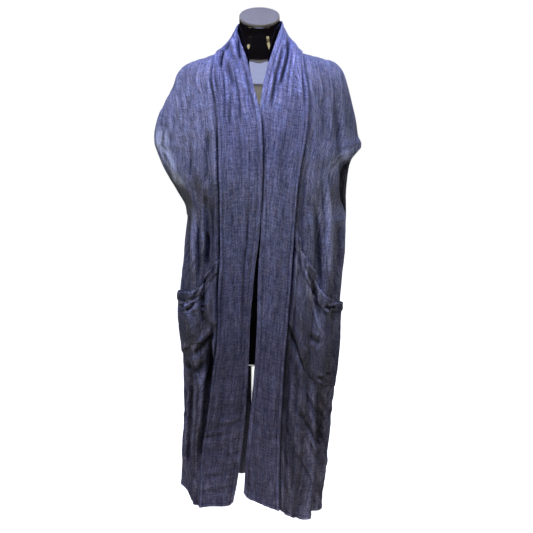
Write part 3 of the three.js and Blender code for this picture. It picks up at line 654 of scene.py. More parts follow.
def fade(value, low, high):
    return 1 - smooth(value, low, high)


def bell(distance):
    return np.exp(-distance * distance)


def power(value, exponent):
    return np.sign(value) * np.abs(value) ** exponent


def unit(vectors):
    return vectors / np.linalg.norm(vectors, axis=-1, keepdims=True)


def at(rows, by, column, value):
    """Value of one column of a table, along a curve that doesn't overshoot its rows."""
    knots, levels = rows[by], rows[column]
    steps = np.diff(knots)
    slopes = np.diff(levels) / steps
    products = slopes[:-1] * slopes[1:]
    sums = slopes[:-1] + slopes[1:]
    inner = np.where(products > 0, 2 * products / np.where(sums == 0, 1, sums), 0)
    tangents = np.concatenate(([slopes[0]], inner, [slopes[-1]]))
    value = np.clip(value, knots[0], knots[-1])
    i = np.clip(np.searchsorted(knots, value) - 1, 0, len(steps) - 1)
    t = (value - knots[i]) / steps[i]
    p, q = levels[i], levels[i + 1]
    m, n = tangents[i] * steps[i], tangents[i + 1] * steps[i]
    return p + t * (m + t * (3 * (q - p) - 2 * m - n + t * (2 * (p - q) + m + n)))


def noise(x, y, seed):
    """Smooth random relief between -1 and 1, with one bump to a unit."""
    cells = 64
    values = np.random.default_rng(seed).uniform(-1, 1, (cells, cells))
    x, y = np.broadcast_arrays(x, y)
    i, j = np.floor(x).astype(int), np.floor(y).astype(int)
    u, v = smooth(x - i, 0, 1), smooth(y - j, 0, 1)
    low = lerp(values[i % cells, j % cells], values[(i + 1) % cells, j % cells], u)
    high = lerp(values[i % cells, (j + 1) % cells], values[(i + 1) % cells, (j + 1) % cells], u)
    return lerp(low, high, v)


# The coat's surface

def in_armhole(z):
    return (z > UNDERARM) & (z < TIP)


def half_width(side, z, panel):
    """Half width of the closed loop that passes through a panel's outer edge at this height."""
    x = at(ARMHOLES[side], "z", panel + "_x", z)
    y = np.abs(at(ARMHOLES[side], "z", panel + "_y", z))
    roundness = at(COAT, "z", "round", z)
    reach = (1 - (y / at(COAT, "z", panel, z)) ** roundness) ** (1 / roundness)
    return np.where(in_armhole(z), x / reach, at(COAT, "z", SIDE_NAMES[side], z))


def body(phi, z, panel):
    """The coat's surface without folds."""
    phi, z = np.broadcast_arrays(np.radians(phi), z)
    across, forward = np.sin(phi), np.cos(phi)
    roundness = at(COAT, "z", "round", z)
    depth = np.where(forward > 0, at(COAT, "z", "front", z), at(COAT, "z", "back", z))
    half = np.where(across >= 0, half_width(LEFT, z, panel), half_width(RIGHT, z, panel))
    rise = np.where(forward < 0, -forward * NECK_RISE * smooth(z, TOP - NECK_BLEND, TOP), 0)
    x = half * power(across, 2 / roundness)
    return np.stack((x, -depth * power(forward, 2 / roundness), z + rise), axis=-1)


def body_normal(phi, z, panel, step_phi=1.5, step_z=2):
    across = body(phi + step_phi, z, panel) - body(phi - step_phi, z, panel)
    up = body(phi, np.minimum(z + step_z, TOP), panel) - body(phi, z - step_z, panel)
    return unit(np.cross(across, up))


def phi_of(x, side, z, panel):
    share = clamp(np.abs(x) / half_width(side, z, panel))
    return side * np.degrees(np.arcsin(share ** (at(COAT, "z", "round", z) / 2)))


def edge_phi(side, z, panel):
    phi = phi_of(at(ARMHOLES[side], "z", panel + "_x", z), side, z, panel)
    if panel == "back":
        phi = side * 180 - phi
    return np.where(in_armhole(z), phi, side * 90.0)


def seam_phi(side, z):
    return phi_of(at(SEAMS, "z", SIDE_NAMES[side], z), side, z, "front")


def turned(phi):
    return (phi + 540) % 360 - 180


def folds(phi, z):
    total = 0
    for start, end, high, low, wide, deep in FOLDS:
        share = clamp((high - z) / (high - low))
        away = turned(phi - lerp(start, end, share)) / wide
        total = total + deep * smooth(share, 0, FOLD_START) * lerp(1, FOLD_AT_HEM, share) * bell(away)
    return total


def front_folds(phi, z, side):
    away = np.linalg.norm(body(phi, z, "front") - body(seam_phi(side, z), z, "front"), axis=-1)
    trough = at(TROUGHS, "z", SIDE_NAMES[side], z) * bell(away / TROUGH_WIDE - 1)
    return (folds(phi, z) + trough) * smooth(away, 0, FOLD_EASE)


def hemmed(phi, z):
    drop = at(HEMLINE, "phi", "z", turned(phi)) - HEM
    return z + drop * smooth(HEM + HEM_FADE - z, 0, HEM_FADE)


def row_heights():
    reach, step = HEM_STEPS
    parts = [np.arange(HEM, HEM + reach, step)]
    start = HEM + reach
    for end, size in ROW_STEPS:
        parts.append(np.linspace(start, end, round((end - start) / size), endpoint=False))
        start = end
    return np.concatenate((*parts, [start]))


def front_shares():
    """Places of a front's columns, from the band seam to the side."""
    even = np.linspace(0, 1, FRONT_COLUMNS + 1)
    return lerp(even, even * even, SEAM_CROWD)


def front_surface(side):
    share = front_shares()[None, :]
    level = row_heights()[:, None]
    flat_phi = lerp(seam_phi(side, level), edge_phi(side, level, "front"), share)
    z = hemmed(flat_phi, level)
    phi = lerp(seam_phi(side, z), edge_phi(side, z, "front"), share)
    normal = body_normal(phi, z, "front")
    fold = front_folds(phi, z, side)
    return body(phi, z, "front") + normal * fold[..., None], normal, fold


def back_surface():
    share = np.linspace(0, 1, BACK_COLUMNS + 1)[None, :]
    level = np.append(row_heights(), TOP)[:, None]
    side = np.where(share < 0.5, LEFT, RIGHT)
    edge = np.abs(np.where(share < 0.5, edge_phi(LEFT, level, "back"), edge_phi(RIGHT, level, "back")))
    phi = side * lerp(edge, 180, 1 - np.abs(1 - 2 * share))
    z = hemmed(phi, level)
    normal = body_normal(phi, z, "back")
    fold = folds(phi, z)
    return body(phi, z, "back") + normal * fold[..., None], normal, fold


def seam_point(side, run):
    """The band's sewn edge: up the front, over the shoulder and along the back neckline."""
    front_run = np.minimum(run, TOP)
    front = body(seam_phi(side, front_run), front_run, "front")
    neck = body(side * (90 + 90 * np.maximum(run - TOP, 0) / NECK_RUN), TOP, "back")
    return np.where((run <= TOP)[..., None], front, neck)


def edge_point(side, run):
    name = SIDE_NAMES[side]
    over = at(OVERLAP, "run", name, run)
    x, y, z = (at(EDGES, "run", column, run) for column in (name, "y", "z_" + name))
    return np.stack((x, y - over, z), axis=-1)


def band_flat(side, run, across):
    run, across = np.broadcast_arrays(run, across)
    return lerp(seam_point(side, run), edge_point(side, run), across[..., None])


def band_normal(side, run, across, step_run=3, step_across=0.02):
    low = band_flat(side, run - step_run, across)
    high = band_flat(side, np.minimum(run + step_run, TOP + NECK_RUN), across)
    chord = band_flat(side, run, across + step_across) - band_flat(side, run, across - step_across)
    normal = np.cross(high - low, chord) * side
    normal[..., 0] *= run < TOP + NECK_RUN
    return unit(normal)


def band_fold(side, run, across):
    total = 0
    for start, end, low, high, wide, deep in BAND_FOLDS[side]:
        share = clamp((run - low) / (high - low))
        ends = smooth(share, 0, BAND_FOLD_END) * smooth(1 - share, 0, BAND_FOLD_END)
        total = total + deep * ends * bell((across - lerp(start, end, share)) / wide)
    return total * smooth(across, 0, BAND_FOLD_END)


def band_surface(side):
    levels = row_heights()
    neck_runs = np.linspace(TOP, TOP + NECK_RUN, NECK_ROWS)
    run = np.concatenate((hemmed(seam_phi(side, levels), levels), neck_runs))[:, None]
    across = np.linspace(0, 1, BAND_COLUMNS + 1)[None, :]
    own = band_normal(side, run, across)
    out = 4 * across * (1 - across) * at(BULGE, "run", "out", run) + band_fold(side, run, across)
    beside = np.minimum(run, TOP)
    sewn = body_normal(seam_phi(side, beside), beside, "front")
    mix = np.maximum(smooth(across, 0, SEWN_SHARE), smooth(run, STAND_FROM, STAND_TO))
    return band_flat(side, run, across) + own * out[..., None], unit(lerp(sewn, own, mix[..., None]))


# Fine relief of the cloth, and the painted shade and light that go with it

def surface_normals(points, guide):
    """Normals of a grid of points, on the side that the guide points to."""
    normal = unit(np.cross(np.gradient(points, axis=1), np.gradient(points, axis=0)))
    facing = np.sign(np.sum(normal * guide, axis=-1, keepdims=True))
    return normal * np.where(facing == 0, 1, facing)


def lengths(points, axis):
    """Length along a grid's rows (axis 1) or columns (axis 0), from its first line."""
    steps = np.linalg.norm(np.diff(points, axis=axis), axis=-1)
    return np.insert(np.cumsum(steps, axis=axis), 0, 0, axis=axis)


def crinkles(s, t, seed):
    """The gauze's lengthwise crinkle: narrow, uneven furrows that wander and fade."""
    drift = 6 * noise(s / 60, t / 110, seed)
    furrows = 0
    for k, (high, across, along) in enumerate(FURROWS, 1):
        furrows = furrows + high * noise((s + k * drift) / across, t / along, seed + k)
    cross = 0.5 * noise(s / 22, t / 13, seed + 4)
    calm = 0.75 + 0.35 * noise(s / 90, t / 130, seed + 5)
    return (furrows + cross) * calm


def crease(points, route, wide):
    """Middle and lips of a crease along a route of (x, z) points, fading at both ends."""
    flat = points[..., (0, 2)]
    route = np.array(route, float)
    legs = np.linalg.norm(np.diff(route, axis=0), axis=1)
    best = np.full(flat.shape[:-1], np.inf)
    along = np.zeros_like(best)
    for k, leg in enumerate(legs):
        way = (route[k + 1] - route[k]) / leg
        run = clamp((flat - route[k]) @ way, 0, leg)
        away = np.linalg.norm(flat - route[k] - run[..., None] * way, axis=-1)
        nearer = away < best
        best = np.where(nearer, away, best)
        along = np.where(nearer, (legs[:k].sum() + run) / legs.sum(), along)
    ends = smooth(along, 0, CREASE_END) * smooth(1 - along, 0, CREASE_END)
    return ends * bell(best / wide), ends * bell(best / wide - LIP_PLACE)


class Relief:
    """Height over a piece in millimetres, and its painted shading: a factor on the cloth's colour that paints
    shade and light where its folds, creases, seams and edges lie.
    """

    def __init__(self, points):
        self.height = np.zeros(points.shape[:-1])
        self.tone = np.ones(points.shape[:-1])

    def add(self, height, tone=1.0, where=1.0):
        self.height = self.height + height * where
        self.tone = self.tone * (1 + (tone - 1) * where)

    def add_creases(self, name, points):
        facing = -1 if name == "coat_back" else 1
        near = smooth(-facing * points[..., 1], -SIDE_SOFT, SIDE_SOFT)
        for wide, deep, dark, *route in CREASES[name]:
            middle, lips = crease(points, route, wide)
            if dark is None:
                dark = -deep / (GROOVE_BLACK if deep < 0 else RIDGE_PALE)
            # Painted shade in the crease's middle and a painted highlight on its lips.
            tone = 1 - dark * middle + LIP_PAINTED_HIGHLIGHT * abs(dark) * lips
            self.add(deep * (middle - LIP_SHARE * lips), tone, near)

    def add_fold_painted_shade(self, fold):
        # Painted shade in the folds' grooves and painted light on their ridges.
        self.add(0, 1 + FOLD_PAINTED_SHADE * np.clip(fold, *FOLD_PAINTED_SHADE_LIMITS))

    def add_painted_light_by_height(self, kind, side, z):
        # Painted light and shade by height, from the table.
        self.add(0, at(PAINTED_LIGHT_BY_HEIGHT, "z", f"{kind}_{SIDE_NAMES[side]}", z))


def crinkled(s, t, seed, share=1.0):
    """The crinkle's height and its painted shading, darker in its furrows and paler on its ridges."""
    height = share * crinkles(s, t, seed)
    return height, 1 + CRINKLE_PAINTED_SHADE * height


def fine_lines(s, t, seed, narrow=1.7):
    """Thin lengthwise creases: height and painted shading, a painted shade in the crease with a pale line, a
    painted highlight, beside it.
    """
    chance = np.random.default_rng(seed)
    height, tone = np.zeros_like(s), np.ones_like(s)
    for _ in range(round(s.max() / LINE_SPACE)):
        start, length = chance.uniform(LINE_FROM, t.max() - LINE_TO), chance.uniform(*LINE_LONG)
        place, lean = chance.uniform(0, s.max()), chance.uniform(*LINE_LEAN)
        wide, strong = narrow * chance.uniform(*LINE_WIDE), chance.uniform(*LINE_STRONG)
        turn = chance.choice((-1, 1))
        share = (t - start) / length
        bend = 5 * np.sin(3 * share + place) + 1.5 * noise(0.5, t / 45, int(place))
        away = (s - place - lean * (t - start) - bend) / wide
        ends = smooth(share, 0, LINE_END) * smooth(1 - share, 0, LINE_END) * strong
        dark, pale = bell(away), bell(away - LINE_PAIR * turn)
        height += LINE_DEEP * ends * (pale - dark)
        tone *= 1 + LINE_PAINTED_SHADE * ends * (0.8 * pale - dark)
    return height, tone


def stitched(distance, strip):
    """Height and painted shading of a folded strip along an edge, with the dip of its stitch line: a painted
    highlight on the raised strip and a painted shade in the dip.
    """
    inside = fade(distance, strip - STRIP_STEP, strip + STRIP_STEP)
    line = bell((distance - strip + STITCH_SET) / STITCH_DIP_WIDE)
    return HEM_RAISED * inside - STITCH_DIP * line, (1 + STRIP_PAINTED_HIGHLIGHT * inside) * (1 - STITCH_PAINTED_SHADE * line)


def seam_slot(side, kind, z, from_seam):
    """Height and painted shading of a band seam's slot and of the strip beside it, on the band or the panel:
    a painted shade in the slot and a painted highlight on the strip.
    """
    z = np.minimum(z, TOP)
    deep = at(SEAM_SLOTS, "z", SIDE_NAMES[side], z)
    dark = at(SEAM_SLOTS, "z", "dark_" + SIDE_NAMES[side], z)
    place, wide, pale = SEAM_STRIP[kind]
    shade = fade(from_seam, SEAM_PAINTED_SHADE[kind] - 1.5, SEAM_PAINTED_SHADE[kind] + 1.5)
    tone = (1 - dark * shade) * (1 + pale * bell((from_seam - place) / wide))
    if kind == "panel":
        return -deep * fade(from_seam, 0, SEAM_GROOVE), tone
    swell = SEAM_LIFT * fade(from_seam, SEAM_ROLL, SEAM_SWELL)
    return swell - (SEAM_LIFT + deep) * fade(from_seam, 0, SEAM_ROLL), tone


def ripples(s, t, turn, seed):
    """Short slanting wrinkles, turn degrees from the lengthwise thread."""
    across = math.cos(math.radians(turn)) * s + math.sin(math.radians(turn)) * t
    along = math.cos(math.radians(turn)) * t - math.sin(math.radians(turn)) * s
    height = 1.5 * noise(across / 11, along / 62, seed) + 0.8 * noise(across / 6, along / 34, seed + 1)
    return height * smooth(noise(s / 80, t / 120, seed + 2), -0.5, 0.4)


def rippled(kind, side, s, from_hem, seed, calm=1.0):
    """Height and painted shading of a piece's slanting wrinkles."""
    turn, full, gone, high, tone = RIPPLES[kind]
    height = ripples(s, from_hem, turn * side, seed) * calm * fade(from_hem, full, gone)
    return high * height, 1 + tone * height


def hem_curl(s, from_hem, seed):
    """How the hem swings in and out between its folds."""
    return HEM_WAVE * noise(s / CURL_LONG, 0.5, seed) * fade(from_hem, 0, CURL_HIGH)


def wandering_hem(points, s, from_seam, from_corner, from_hem, seed):
    """The points with the hem's edge wandering a little up and down, and rounded at its free corner."""
    wave = HEM_WAVE * noise(s / WAVE_LONG, 0.5, seed) * smooth(from_seam, 0, HEM_CALM)
    rise, wide = HEM_CORNER
    corner = rise * fade(from_corner, 0, wide) ** 2
    moved = points.copy()
    moved[..., 2] += (wave + corner) * fade(from_hem, 0, WAVE_HIGH)
    return moved


# Meshes

def make_mesh(name, vertices, faces, cut=None, **shares):
    """A mesh object from millimetres. cut is each point's place on the flat cloth, shares a number each."""
    mesh = bpy.data.meshes.new(name)
    mesh.from_pydata((np.asarray(vertices) * MM).tolist(), [], [list(face) for face in faces])
    if cut is not None:
        attribute = mesh.attributes.new("cut", "FLOAT_VECTOR", "POINT")
        attribute.data.foreach_set("vector", (np.asarray(cut) * MM).astype(np.float32).ravel())
    for key, values in shares.items():
        attribute = mesh.attributes.new(key, "FLOAT", "POINT")
        attribute.data.foreach_set("value", np.asarray(values, np.float32).ravel())
    mesh.polygons.foreach_set("use_smooth", np.ones(len(mesh.polygons), bool))
    mesh.update()
    piece = bpy.data.objects.new(name, mesh)
    bpy.context.scene.collection.objects.link(piece)
    return piece


def wall_faces(rows, columns):
    """Faces of a closed wall: an outer grid, an inner grid and the rim between them."""
    index = np.arange(rows * columns).reshape(rows, columns)
    inner = index + rows * columns
    a, b, c, d = index[:-1, :-1], index[:-1, 1:], index[1:, 1:], index[1:, :-1]
    e, f, g, h = inner[:-1, :-1], inner[:-1, 1:], inner[1:, 1:], inner[1:, :-1]
    outside = np.stack((a, b, c, d), axis=-1).reshape(-1, 4)
    inside = np.stack((e, h, g, f), axis=-1).reshape(-1, 4)
    rims = (
        (index[0, :-1], inner[0, :-1], inner[0, 1:], index[0, 1:]),
        (index[-1, 1:], inner[-1, 1:], inner[-1, :-1], index[-1, :-1]),
        (index[:-1, 0], index[1:, 0], inner[1:, 0], inner[:-1, 0]),
        (index[1:, -1], index[:-1, -1], inner[:-1, -1], inner[1:, -1]),
    )
    rim = np.concatenate([np.stack(row, axis=-1) for row in rims])
    return np.concatenate((outside, inside, rim))


def thin_wall(name, points, normals, thickness, flipped, tone, sheer=None, first=0):
    """A closed thin shell of cloth from its outer points. Its threads run beside the first column."""
    s, t = lengths(points, 1), lengths(points, 0)
    s = s - s[:, first, None]
    cut = np.stack((s, t, np.zeros_like(s)), axis=-1)
    sheer = np.zeros_like(s) if sheer is None else sheer
    grids = [points, normals, cut, tone, sheer]
    if flipped:
        grids = [grid[:, ::-1] for grid in grids]
    points, normals, cut, tone, sheer = grids
    rows, columns = points.shape[:2]
    outer = points.reshape(-1, 3)
    inner = (points - normals * thickness).reshape(-1, 3)
    places = np.concatenate((cut.reshape(-1, 3), cut.reshape(-1, 3)))
    shares = {
        # The inner side gets a further painted shade.
        "tone": np.concatenate((tone.ravel(), INNER_PAINTED_SHADE * tone.ravel())),
        "sheer": np.concatenate((sheer.ravel(), sheer.ravel())),
    }
    return make_mesh(name, np.concatenate((outer, inner)), wall_faces(rows, columns), places, **shares)


def dressed(name, points, guide, relief):
    """The points moved out by the relief and the piece's own creases, and their normals."""
    relief.add_creases(name, points)
    relief.tone = np.clip(relief.tone, 0.03, 2)
    moved = points + surface_normals(points, guide) * relief.height[..., None]
    return moved, surface_normals(moved, guide)


def sewn(name, points, guide, relief, thickness, flipped, lines, sheer=None, first=0):
    """A dressed piece: its points, normals, wall and stitches, along lines at a distance from an edge."""
    points, normals = dressed(name, points, guide, relief)
    wall = thin_wall(name + "_cloth", points, normals, thickness, flipped, relief.tone, sheer, first)
    routes = []
    for part, distance, place, axis in lines:
        routes.append(traced(points[part], normals[part], distance[part], place, axis))
    return points, normals, wall, make_stitches(name + "_stitches", routes)


def edge_distances(points):
    """Distance to the first column, the last column and the first row, along the cloth."""
    s, t = lengths(points, 1), lengths(points, 0)
    return s, s[:, -1:] - s, t


# Where the light behind shows through the thin cloth by an armhole, painted as a paler colour in the cloth's
# material.
def sheer_by_armhole(side, z, from_side, from_hem):
    strength, low, high = SHEER[side]
    zone = smooth(from_side, SHEER_FROM - 3, SHEER_FROM + 12)
    zone = zone * fade(from_side, SHEER_TO - 28, SHEER_TO)
    zone = zone * smooth(z, low, low + 30) * fade(z, high - 30, high)
    return strength * zone * smooth(noise(from_side / 16, from_hem / 38, 211), -0.8, 0.3)


def make_front(side):
    name = f"coat_front_{SIDE_NAMES[side]}"
    points, guide, fold = front_surface(side)
    from_seam, from_side, from_hem = edge_distances(points)
    seed = SEEDS[name]
    points = wandering_hem(points, from_seam, from_seam, from_side, from_hem, seed + 6)
    calm = smooth(from_seam, 0, EDGE_CALM) * smooth(from_side, 0, EDGE_CALM)
    z = points[..., 2]
    relief = Relief(points)
    # Painted shade and light from the hanging folds.
    relief.add_fold_painted_shade(fold)
    # Painted light and shade by height.
    relief.add_painted_light_by_height("panel", side, z)
    relief.add(*crinkled(from_seam, from_hem, seed, calm))
    relief.add(*fine_lines(from_seam, from_hem, seed + 9), where=calm)
    relief.add(*rippled("panel", side, from_seam, from_hem, seed + 8, calm))
    relief.add(hem_curl(from_seam, from_hem, seed + 7))
    relief.add(*stitched(from_hem, HEM_WIDE))
    relief.add(*stitched(from_side, HEM_WIDE), where=in_armhole(z))
    relief.add(*seam_slot(side, "panel", z, from_seam))
    sheer = sheer_by_armhole(side, z, from_side, from_hem)
    place = HEM_WIDE - STITCH_SET
    lines = ((ALL, from_hem, place, 0), (in_armhole(z).all(axis=1), from_side, place, 1))
    return sewn(name, points, guide, relief, CLOTH_THICK, side < 0, lines, sheer)


def make_back():
    seed = SEEDS["coat_back"]
    points, guide, fold = back_surface()
    from_left, from_right, from_hem = edge_distances(points)
    from_side = np.minimum(from_left, from_right)
    middle = points.shape[1] // 2
    across = from_left - from_left[:, middle, None] + from_left[0, middle]
    points = wandering_hem(points, from_left, from_side, from_side, from_hem, seed + 6)
    z = points[..., 2]
    relief = Relief(points)
    # Painted shade and light from the hanging folds.
    relief.add_fold_painted_shade(fold)
    # Painted light, darker towards the hem and brighter towards the neck.
    relief.add(0, lerp(*BACK_PAINTED_LIGHT, smooth(z, HEM, TOP)))
    relief.add(*crinkled(across, from_hem, seed, smooth(from_side, 0, EDGE_CALM)))
    relief.add(*fine_lines(across, from_hem, seed + 11, 2.6))
    relief.add(*rippled("back", 1, across, from_hem, seed + 10))
    relief.add(hem_curl(from_left, from_hem, seed + 7))
    relief.add(*stitched(from_hem, HEM_WIDE))
    relief.add(*stitched(from_side, HEM_WIDE), where=in_armhole(z))
    from_neck = from_hem[-1:] - from_hem
    # A sunk slot along the neckline, with a painted shade in it.
    sunk, shaded = fade(from_neck, 0, SEAM_GROOVE), fade(from_neck, 0.5, 5)
    relief.add(-NECK_SLOT * sunk, 1 - 0.5 * shaded)
    open_rows, place = in_armhole(z).all(axis=1), HEM_WIDE - STITCH_SET
    halves = (np.s_[open_rows, :middle], np.s_[open_rows, middle:])
    lines = [(ALL, from_hem, place, 0), *((half, from_side, place, 1) for half in halves)]
    return sewn("coat_back", points, guide, relief, CLOTH_THICK, False, lines, first=middle)


def make_band(side):
    name = f"band_{SIDE_NAMES[side]}"
    points, guide = band_surface(side)
    from_seam, from_edge, from_hem = edge_distances(points)
    seed = SEEDS[name]
    points = wandering_hem(points, from_seam, from_seam, from_edge, from_hem, seed + 6)
    calm = smooth(from_seam, 0, EDGE_CALM) * smooth(from_edge, 0, EDGE_CALM)
    relief = Relief(points)
    # Painted light and shade by height.
    relief.add_painted_light_by_height("band", side, points[..., 2])
    relief.add(*crinkled(from_seam, from_hem, seed, 0.6 * calm))
    relief.add(*fine_lines(from_seam, from_hem, seed + 9), where=0.45 * calm)
    relief.add(*rippled("band", side, from_seam, from_hem, seed + 8, calm))
    relief.add(hem_curl(from_seam, from_hem, seed + 7))
    relief.add(*seam_slot(side, "band", points[..., 2], from_seam))
    for distance, strip in ((from_seam, BAND_STRIP), (from_edge, BAND_STRIP), (from_hem, HEM_WIDE)):
        relief.add(*stitched(distance, strip))
    inside = from_hem[:, 0] > HEM_WIDE
    edges = [(inside, distance, BAND_STRIP - STITCH_SET, 1) for distance in (from_seam, from_edge)]
    lines = [(ALL, from_hem, HEM_WIDE - STITCH_SET, 0), *edges]
    return sewn(name, points, guide, relief, BAND_THICK, side > 0, lines)


def on_panel(points, normals, u, z):
    """Points and normals of a panel at places across it (a row) and heights (a grid)."""
    column = np.interp(u, front_shares(), np.arange(FRONT_COLUMNS + 1))
    j = np.minimum(column.astype(int), points.shape[1] - 2)
    share = (column - j)[None, :, None]
    line = lerp(points[:, j], points[:, j + 1], share)
    out = lerp(normals[:, j], normals[:, j + 1], share)
    found = np.empty((*z.shape, 3))
    facing = np.empty((*z.shape, 3))
    for k in range(z.shape[1]):
        for axis in range(3):
            found[:, k, axis] = np.interp(z[:, k], line[:, k, 2], line[:, k, axis])
            facing[:, k, axis] = np.interp(z[:, k], line[:, k, 2], out[:, k, axis])
    return found, unit(facing)


def casing_slant(along, mouth):
    """How much longer the casing is upright than square to a slanting mouth."""
    run, rise = np.gradient(along), np.gradient(mouth)
    return np.minimum(run / np.sqrt(np.maximum(run * run - rise * rise, 0.01)), SLANT_MOST)


def make_pocket(side, panel_points, panel_normals):
    name = f"pocket_{SIDE_NAMES[side]}"
    shape = POCKETS[side]
    first, last = shape["u"][0], shape["u"][-1]
    u = np.linspace(first, last, POCKET_COLUMNS + 1)
    share = ((u - first) / (last - first))[None, :]
    height = np.linspace(0, 1, POCKET_ROWS + 1)[:, None]
    mouth = at(shape, "u", "mouth", u)[None, :]
    z = lerp(at(shape, "u", "bottom", u)[None, :], mouth, height)
    points, normals = on_panel(panel_points, panel_normals, u, z)
    sides = np.abs(np.sin(np.pi * share)) ** SIDE_ROUND * lerp(1, SIDE_BELLY, share)
    belly = POCKET_BELLY * np.sin(np.pi * height * BELLY_TOP) ** SIDE_ROUND * (1 - height ** MOUTH_ROUND)
    stand = sides * np.maximum(belly, MOUTH_OPEN * height * height)
    s, t = lengths(points, 1), lengths(points, 0)
    from_mouth = (mouth - z) / casing_slant(s[-1], mouth[0])
    casing = fade(from_mouth, CASING - CASING_EDGE, CASING + CASING_EDGE)
    seed = SEEDS[name]
    puckers = 1.5 * noise(s / 7, t / 40, seed) + 0.8 * noise(s / 4.5, t / 16, seed + 1)
    below = bell((from_mouth - CASING - 14) / 18)
    rungs = np.sin(2 * np.pi * s / RUNG_PITCH + 2 * noise(s / 40, 0.5, seed + 4))
    relief = Relief(points)
    # Painted light and shade by height, as on the panel.
    relief.add_painted_light_by_height("panel", side, z)
    relief.add(*crinkled(s, t, seed + 2, smooth(height, 0, 0.15)))
    # Puckers in and below the casing, with painted shade in their hollows and painted light on their tops.
    relief.add(puckers * (casing + 0.9 * below), 1 + 0.2 * puckers * (casing + 0.9 * below))
    # Gathers across the casing, with a painted shade inside the casing and painted shade and light across the
    # gathers.
    relief.add(0.7 * rungs, CASING_PAINTED_SHADE + RUNG_PAINTED_SHADE * rungs, casing * smooth(from_mouth, 2, 6))
    # A dip under the casing, with a painted shade along it.
    under_casing = (CASING - from_mouth) / 2.4
    relief.add(-1.6 * bell(under_casing), 1 - 0.55 * bell(under_casing + 1))
    # Painted highlights along the casing's lower edge and along the mouth.
    relief.add(0, 1 + 0.8 * bell(under_casing - 1.5) + 0.8 * bell(from_mouth / 2.5))
    # Painted highlights along the pocket's bottom edge and its side edge by the band.
    relief.add(0, 1 + 0.2 * bell(t / 4) + 0.15 * bell(s / 4))
    out = LAP + stand + POCKET_THICK + CASING_THICK * casing
    lines = [(ALL, from_mouth, place, 0) for place in (CASING_STITCH, CASING - CASING_STITCH)]
    return sewn(name, points + normals * out[..., None], normals, relief, POCKET_THICK, side < 0, lines)


def traced(points, normals, distance, level, axis):
    """Points and normals of the line on a grid that lies this distance from an edge."""
    if axis == 0:
        points, normals, distance = points.swapaxes(0, 1), normals.swapaxes(0, 1), distance.T
    both = np.concatenate((points, normals), axis=-1)
    line = []
    for away, row in zip(distance, both):
        steps = np.diff(away)
        if steps.min() > 0 or steps.max() < 0:
            order = np.argsort(away)
            line.append([np.interp(level, away[order], row[order, k]) for k in range(6)])
    return np.array(line)


def make_stitches(name, lines):
    """One mesh with a small raised lozenge for each stitch along the lines."""
    vertices, faces = [], []
    lozenge = ((0, 4, 2), (0, 2, 5), (0, 5, 3), (0, 3, 4), (1, 2, 4), (1, 5, 2), (1, 3, 5), (1, 4, 3))
    for line in lines:
        legs = np.linalg.norm(np.diff(line[:, :3], axis=0), axis=1)
        run = np.insert(np.cumsum(legs), 0, 0)
        for start in np.arange(STITCH_PITCH, run[-1] - STITCH_PITCH, STITCH_PITCH):
            middle = np.array([np.interp(start, run, line[:, k]) for k in range(6)])
            tip = np.array([np.interp(start + STITCH_LONG / 2, run, line[:, k]) for k in range(3)])
            along = unit(tip - middle[:3]) * STITCH_LONG / 2
            out = unit(middle[3:])
            beside = unit(np.cross(along, out)) * STITCH_WIDE / 2
            centre = middle[:3] + out * STITCH_OUT
            first = len(vertices)
            for arm in (along, -along, beside, -beside, out * STITCH_OUT, -out * STITCH_OUT * 2):
                vertices.append(centre + arm)
            faces += [[first + k for k in face] for face in lozenge]
    return make_mesh(name, vertices, faces)


def ring_faces(rows, sides):
    """Faces of a closed body made of rings, with flat ends."""
    index = np.arange(rows * sides).reshape(rows, sides)
    following = np.roll(index, -1, axis=1)
    quads = np.stack((index[:-1], following[:-1], following[1:], index[1:]), axis=-1).reshape(-1, 4)
    return [*quads.tolist(), index[0, ::-1].tolist(), index[-1].tolist()]


def form_loop(z):
    turn = 2 * np.pi * np.arange(FORM_SIDES) / FORM_SIDES
    across, forward = np.sin(turn), np.cos(turn)
    roundness = at(FORM, "z", "round", z)
    half = np.full(FORM_SIDES, at(FORM, "z", "half", z))
    if TIP < z < TOP:
        for side in (RIGHT, LEFT):
            under = at(COAT, "z", SIDE_NAMES[side], z + FORM_UNDER_COAT) - FORM_INSIDE
            half = np.where(across * side > 0, np.minimum(half, under), half)
    depth = np.where(forward > 0, at(FORM, "z", "front", z), at(FORM, "z", "back", z))
    lean = NECK_LEAN * smooth(z, LEAN_FROM, LEAN_TO)
    x = half * power(across, 2 / roundness)
    return np.stack((x, lean - depth * power(forward, 2 / roundness), np.full(FORM_SIDES, float(z))), axis=-1)


def cap_loop(height, radius=CAP_RADIUS):
    """A ring of the neck laid into the slope of its cap."""
    turn = 2 * np.pi * np.arange(FORM_SIDES) / FORM_SIDES
    y = -radius * np.cos(turn)
    shift = NECK_LEAN - height * math.sin(CAP_TILT)
    rise = CAP_CENTRE + height * math.cos(CAP_TILT)
    columns = (radius * np.sin(turn), shift + y * math.cos(CAP_TILT), rise + y * math.sin(CAP_TILT))
    return np.stack(columns, axis=-1)


def make_form():
    heights = np.linspace(FORM_BOTTOM, FORM["z"][-1], FORM_ROWS)
    loops = [form_loop(z) for z in heights]
    neck = [lerp(loops[-1], cap_loop(0), share) for share in (0.25, 0.5, 0.75, 1)]
    rings = np.stack((*loops, *neck))
    torso = make_mesh("form_torso_shell", rings.reshape(-1, 3), ring_faces(len(rings), FORM_SIDES))
    profile = ((0.3, -1.4), (0.3, -0.3), (1.2, 0), (6.8, 0), (7.7, -0.4), (8, -1.4), (8, -9))
    rings = np.stack([cap_loop(height, CAP_RADIUS + inset) for height, inset in profile])
    plate = make_mesh("form_cap_plate", rings.reshape(-1, 3), ring_faces(len(rings), FORM_SIDES))
    return torso, plate


# Materials

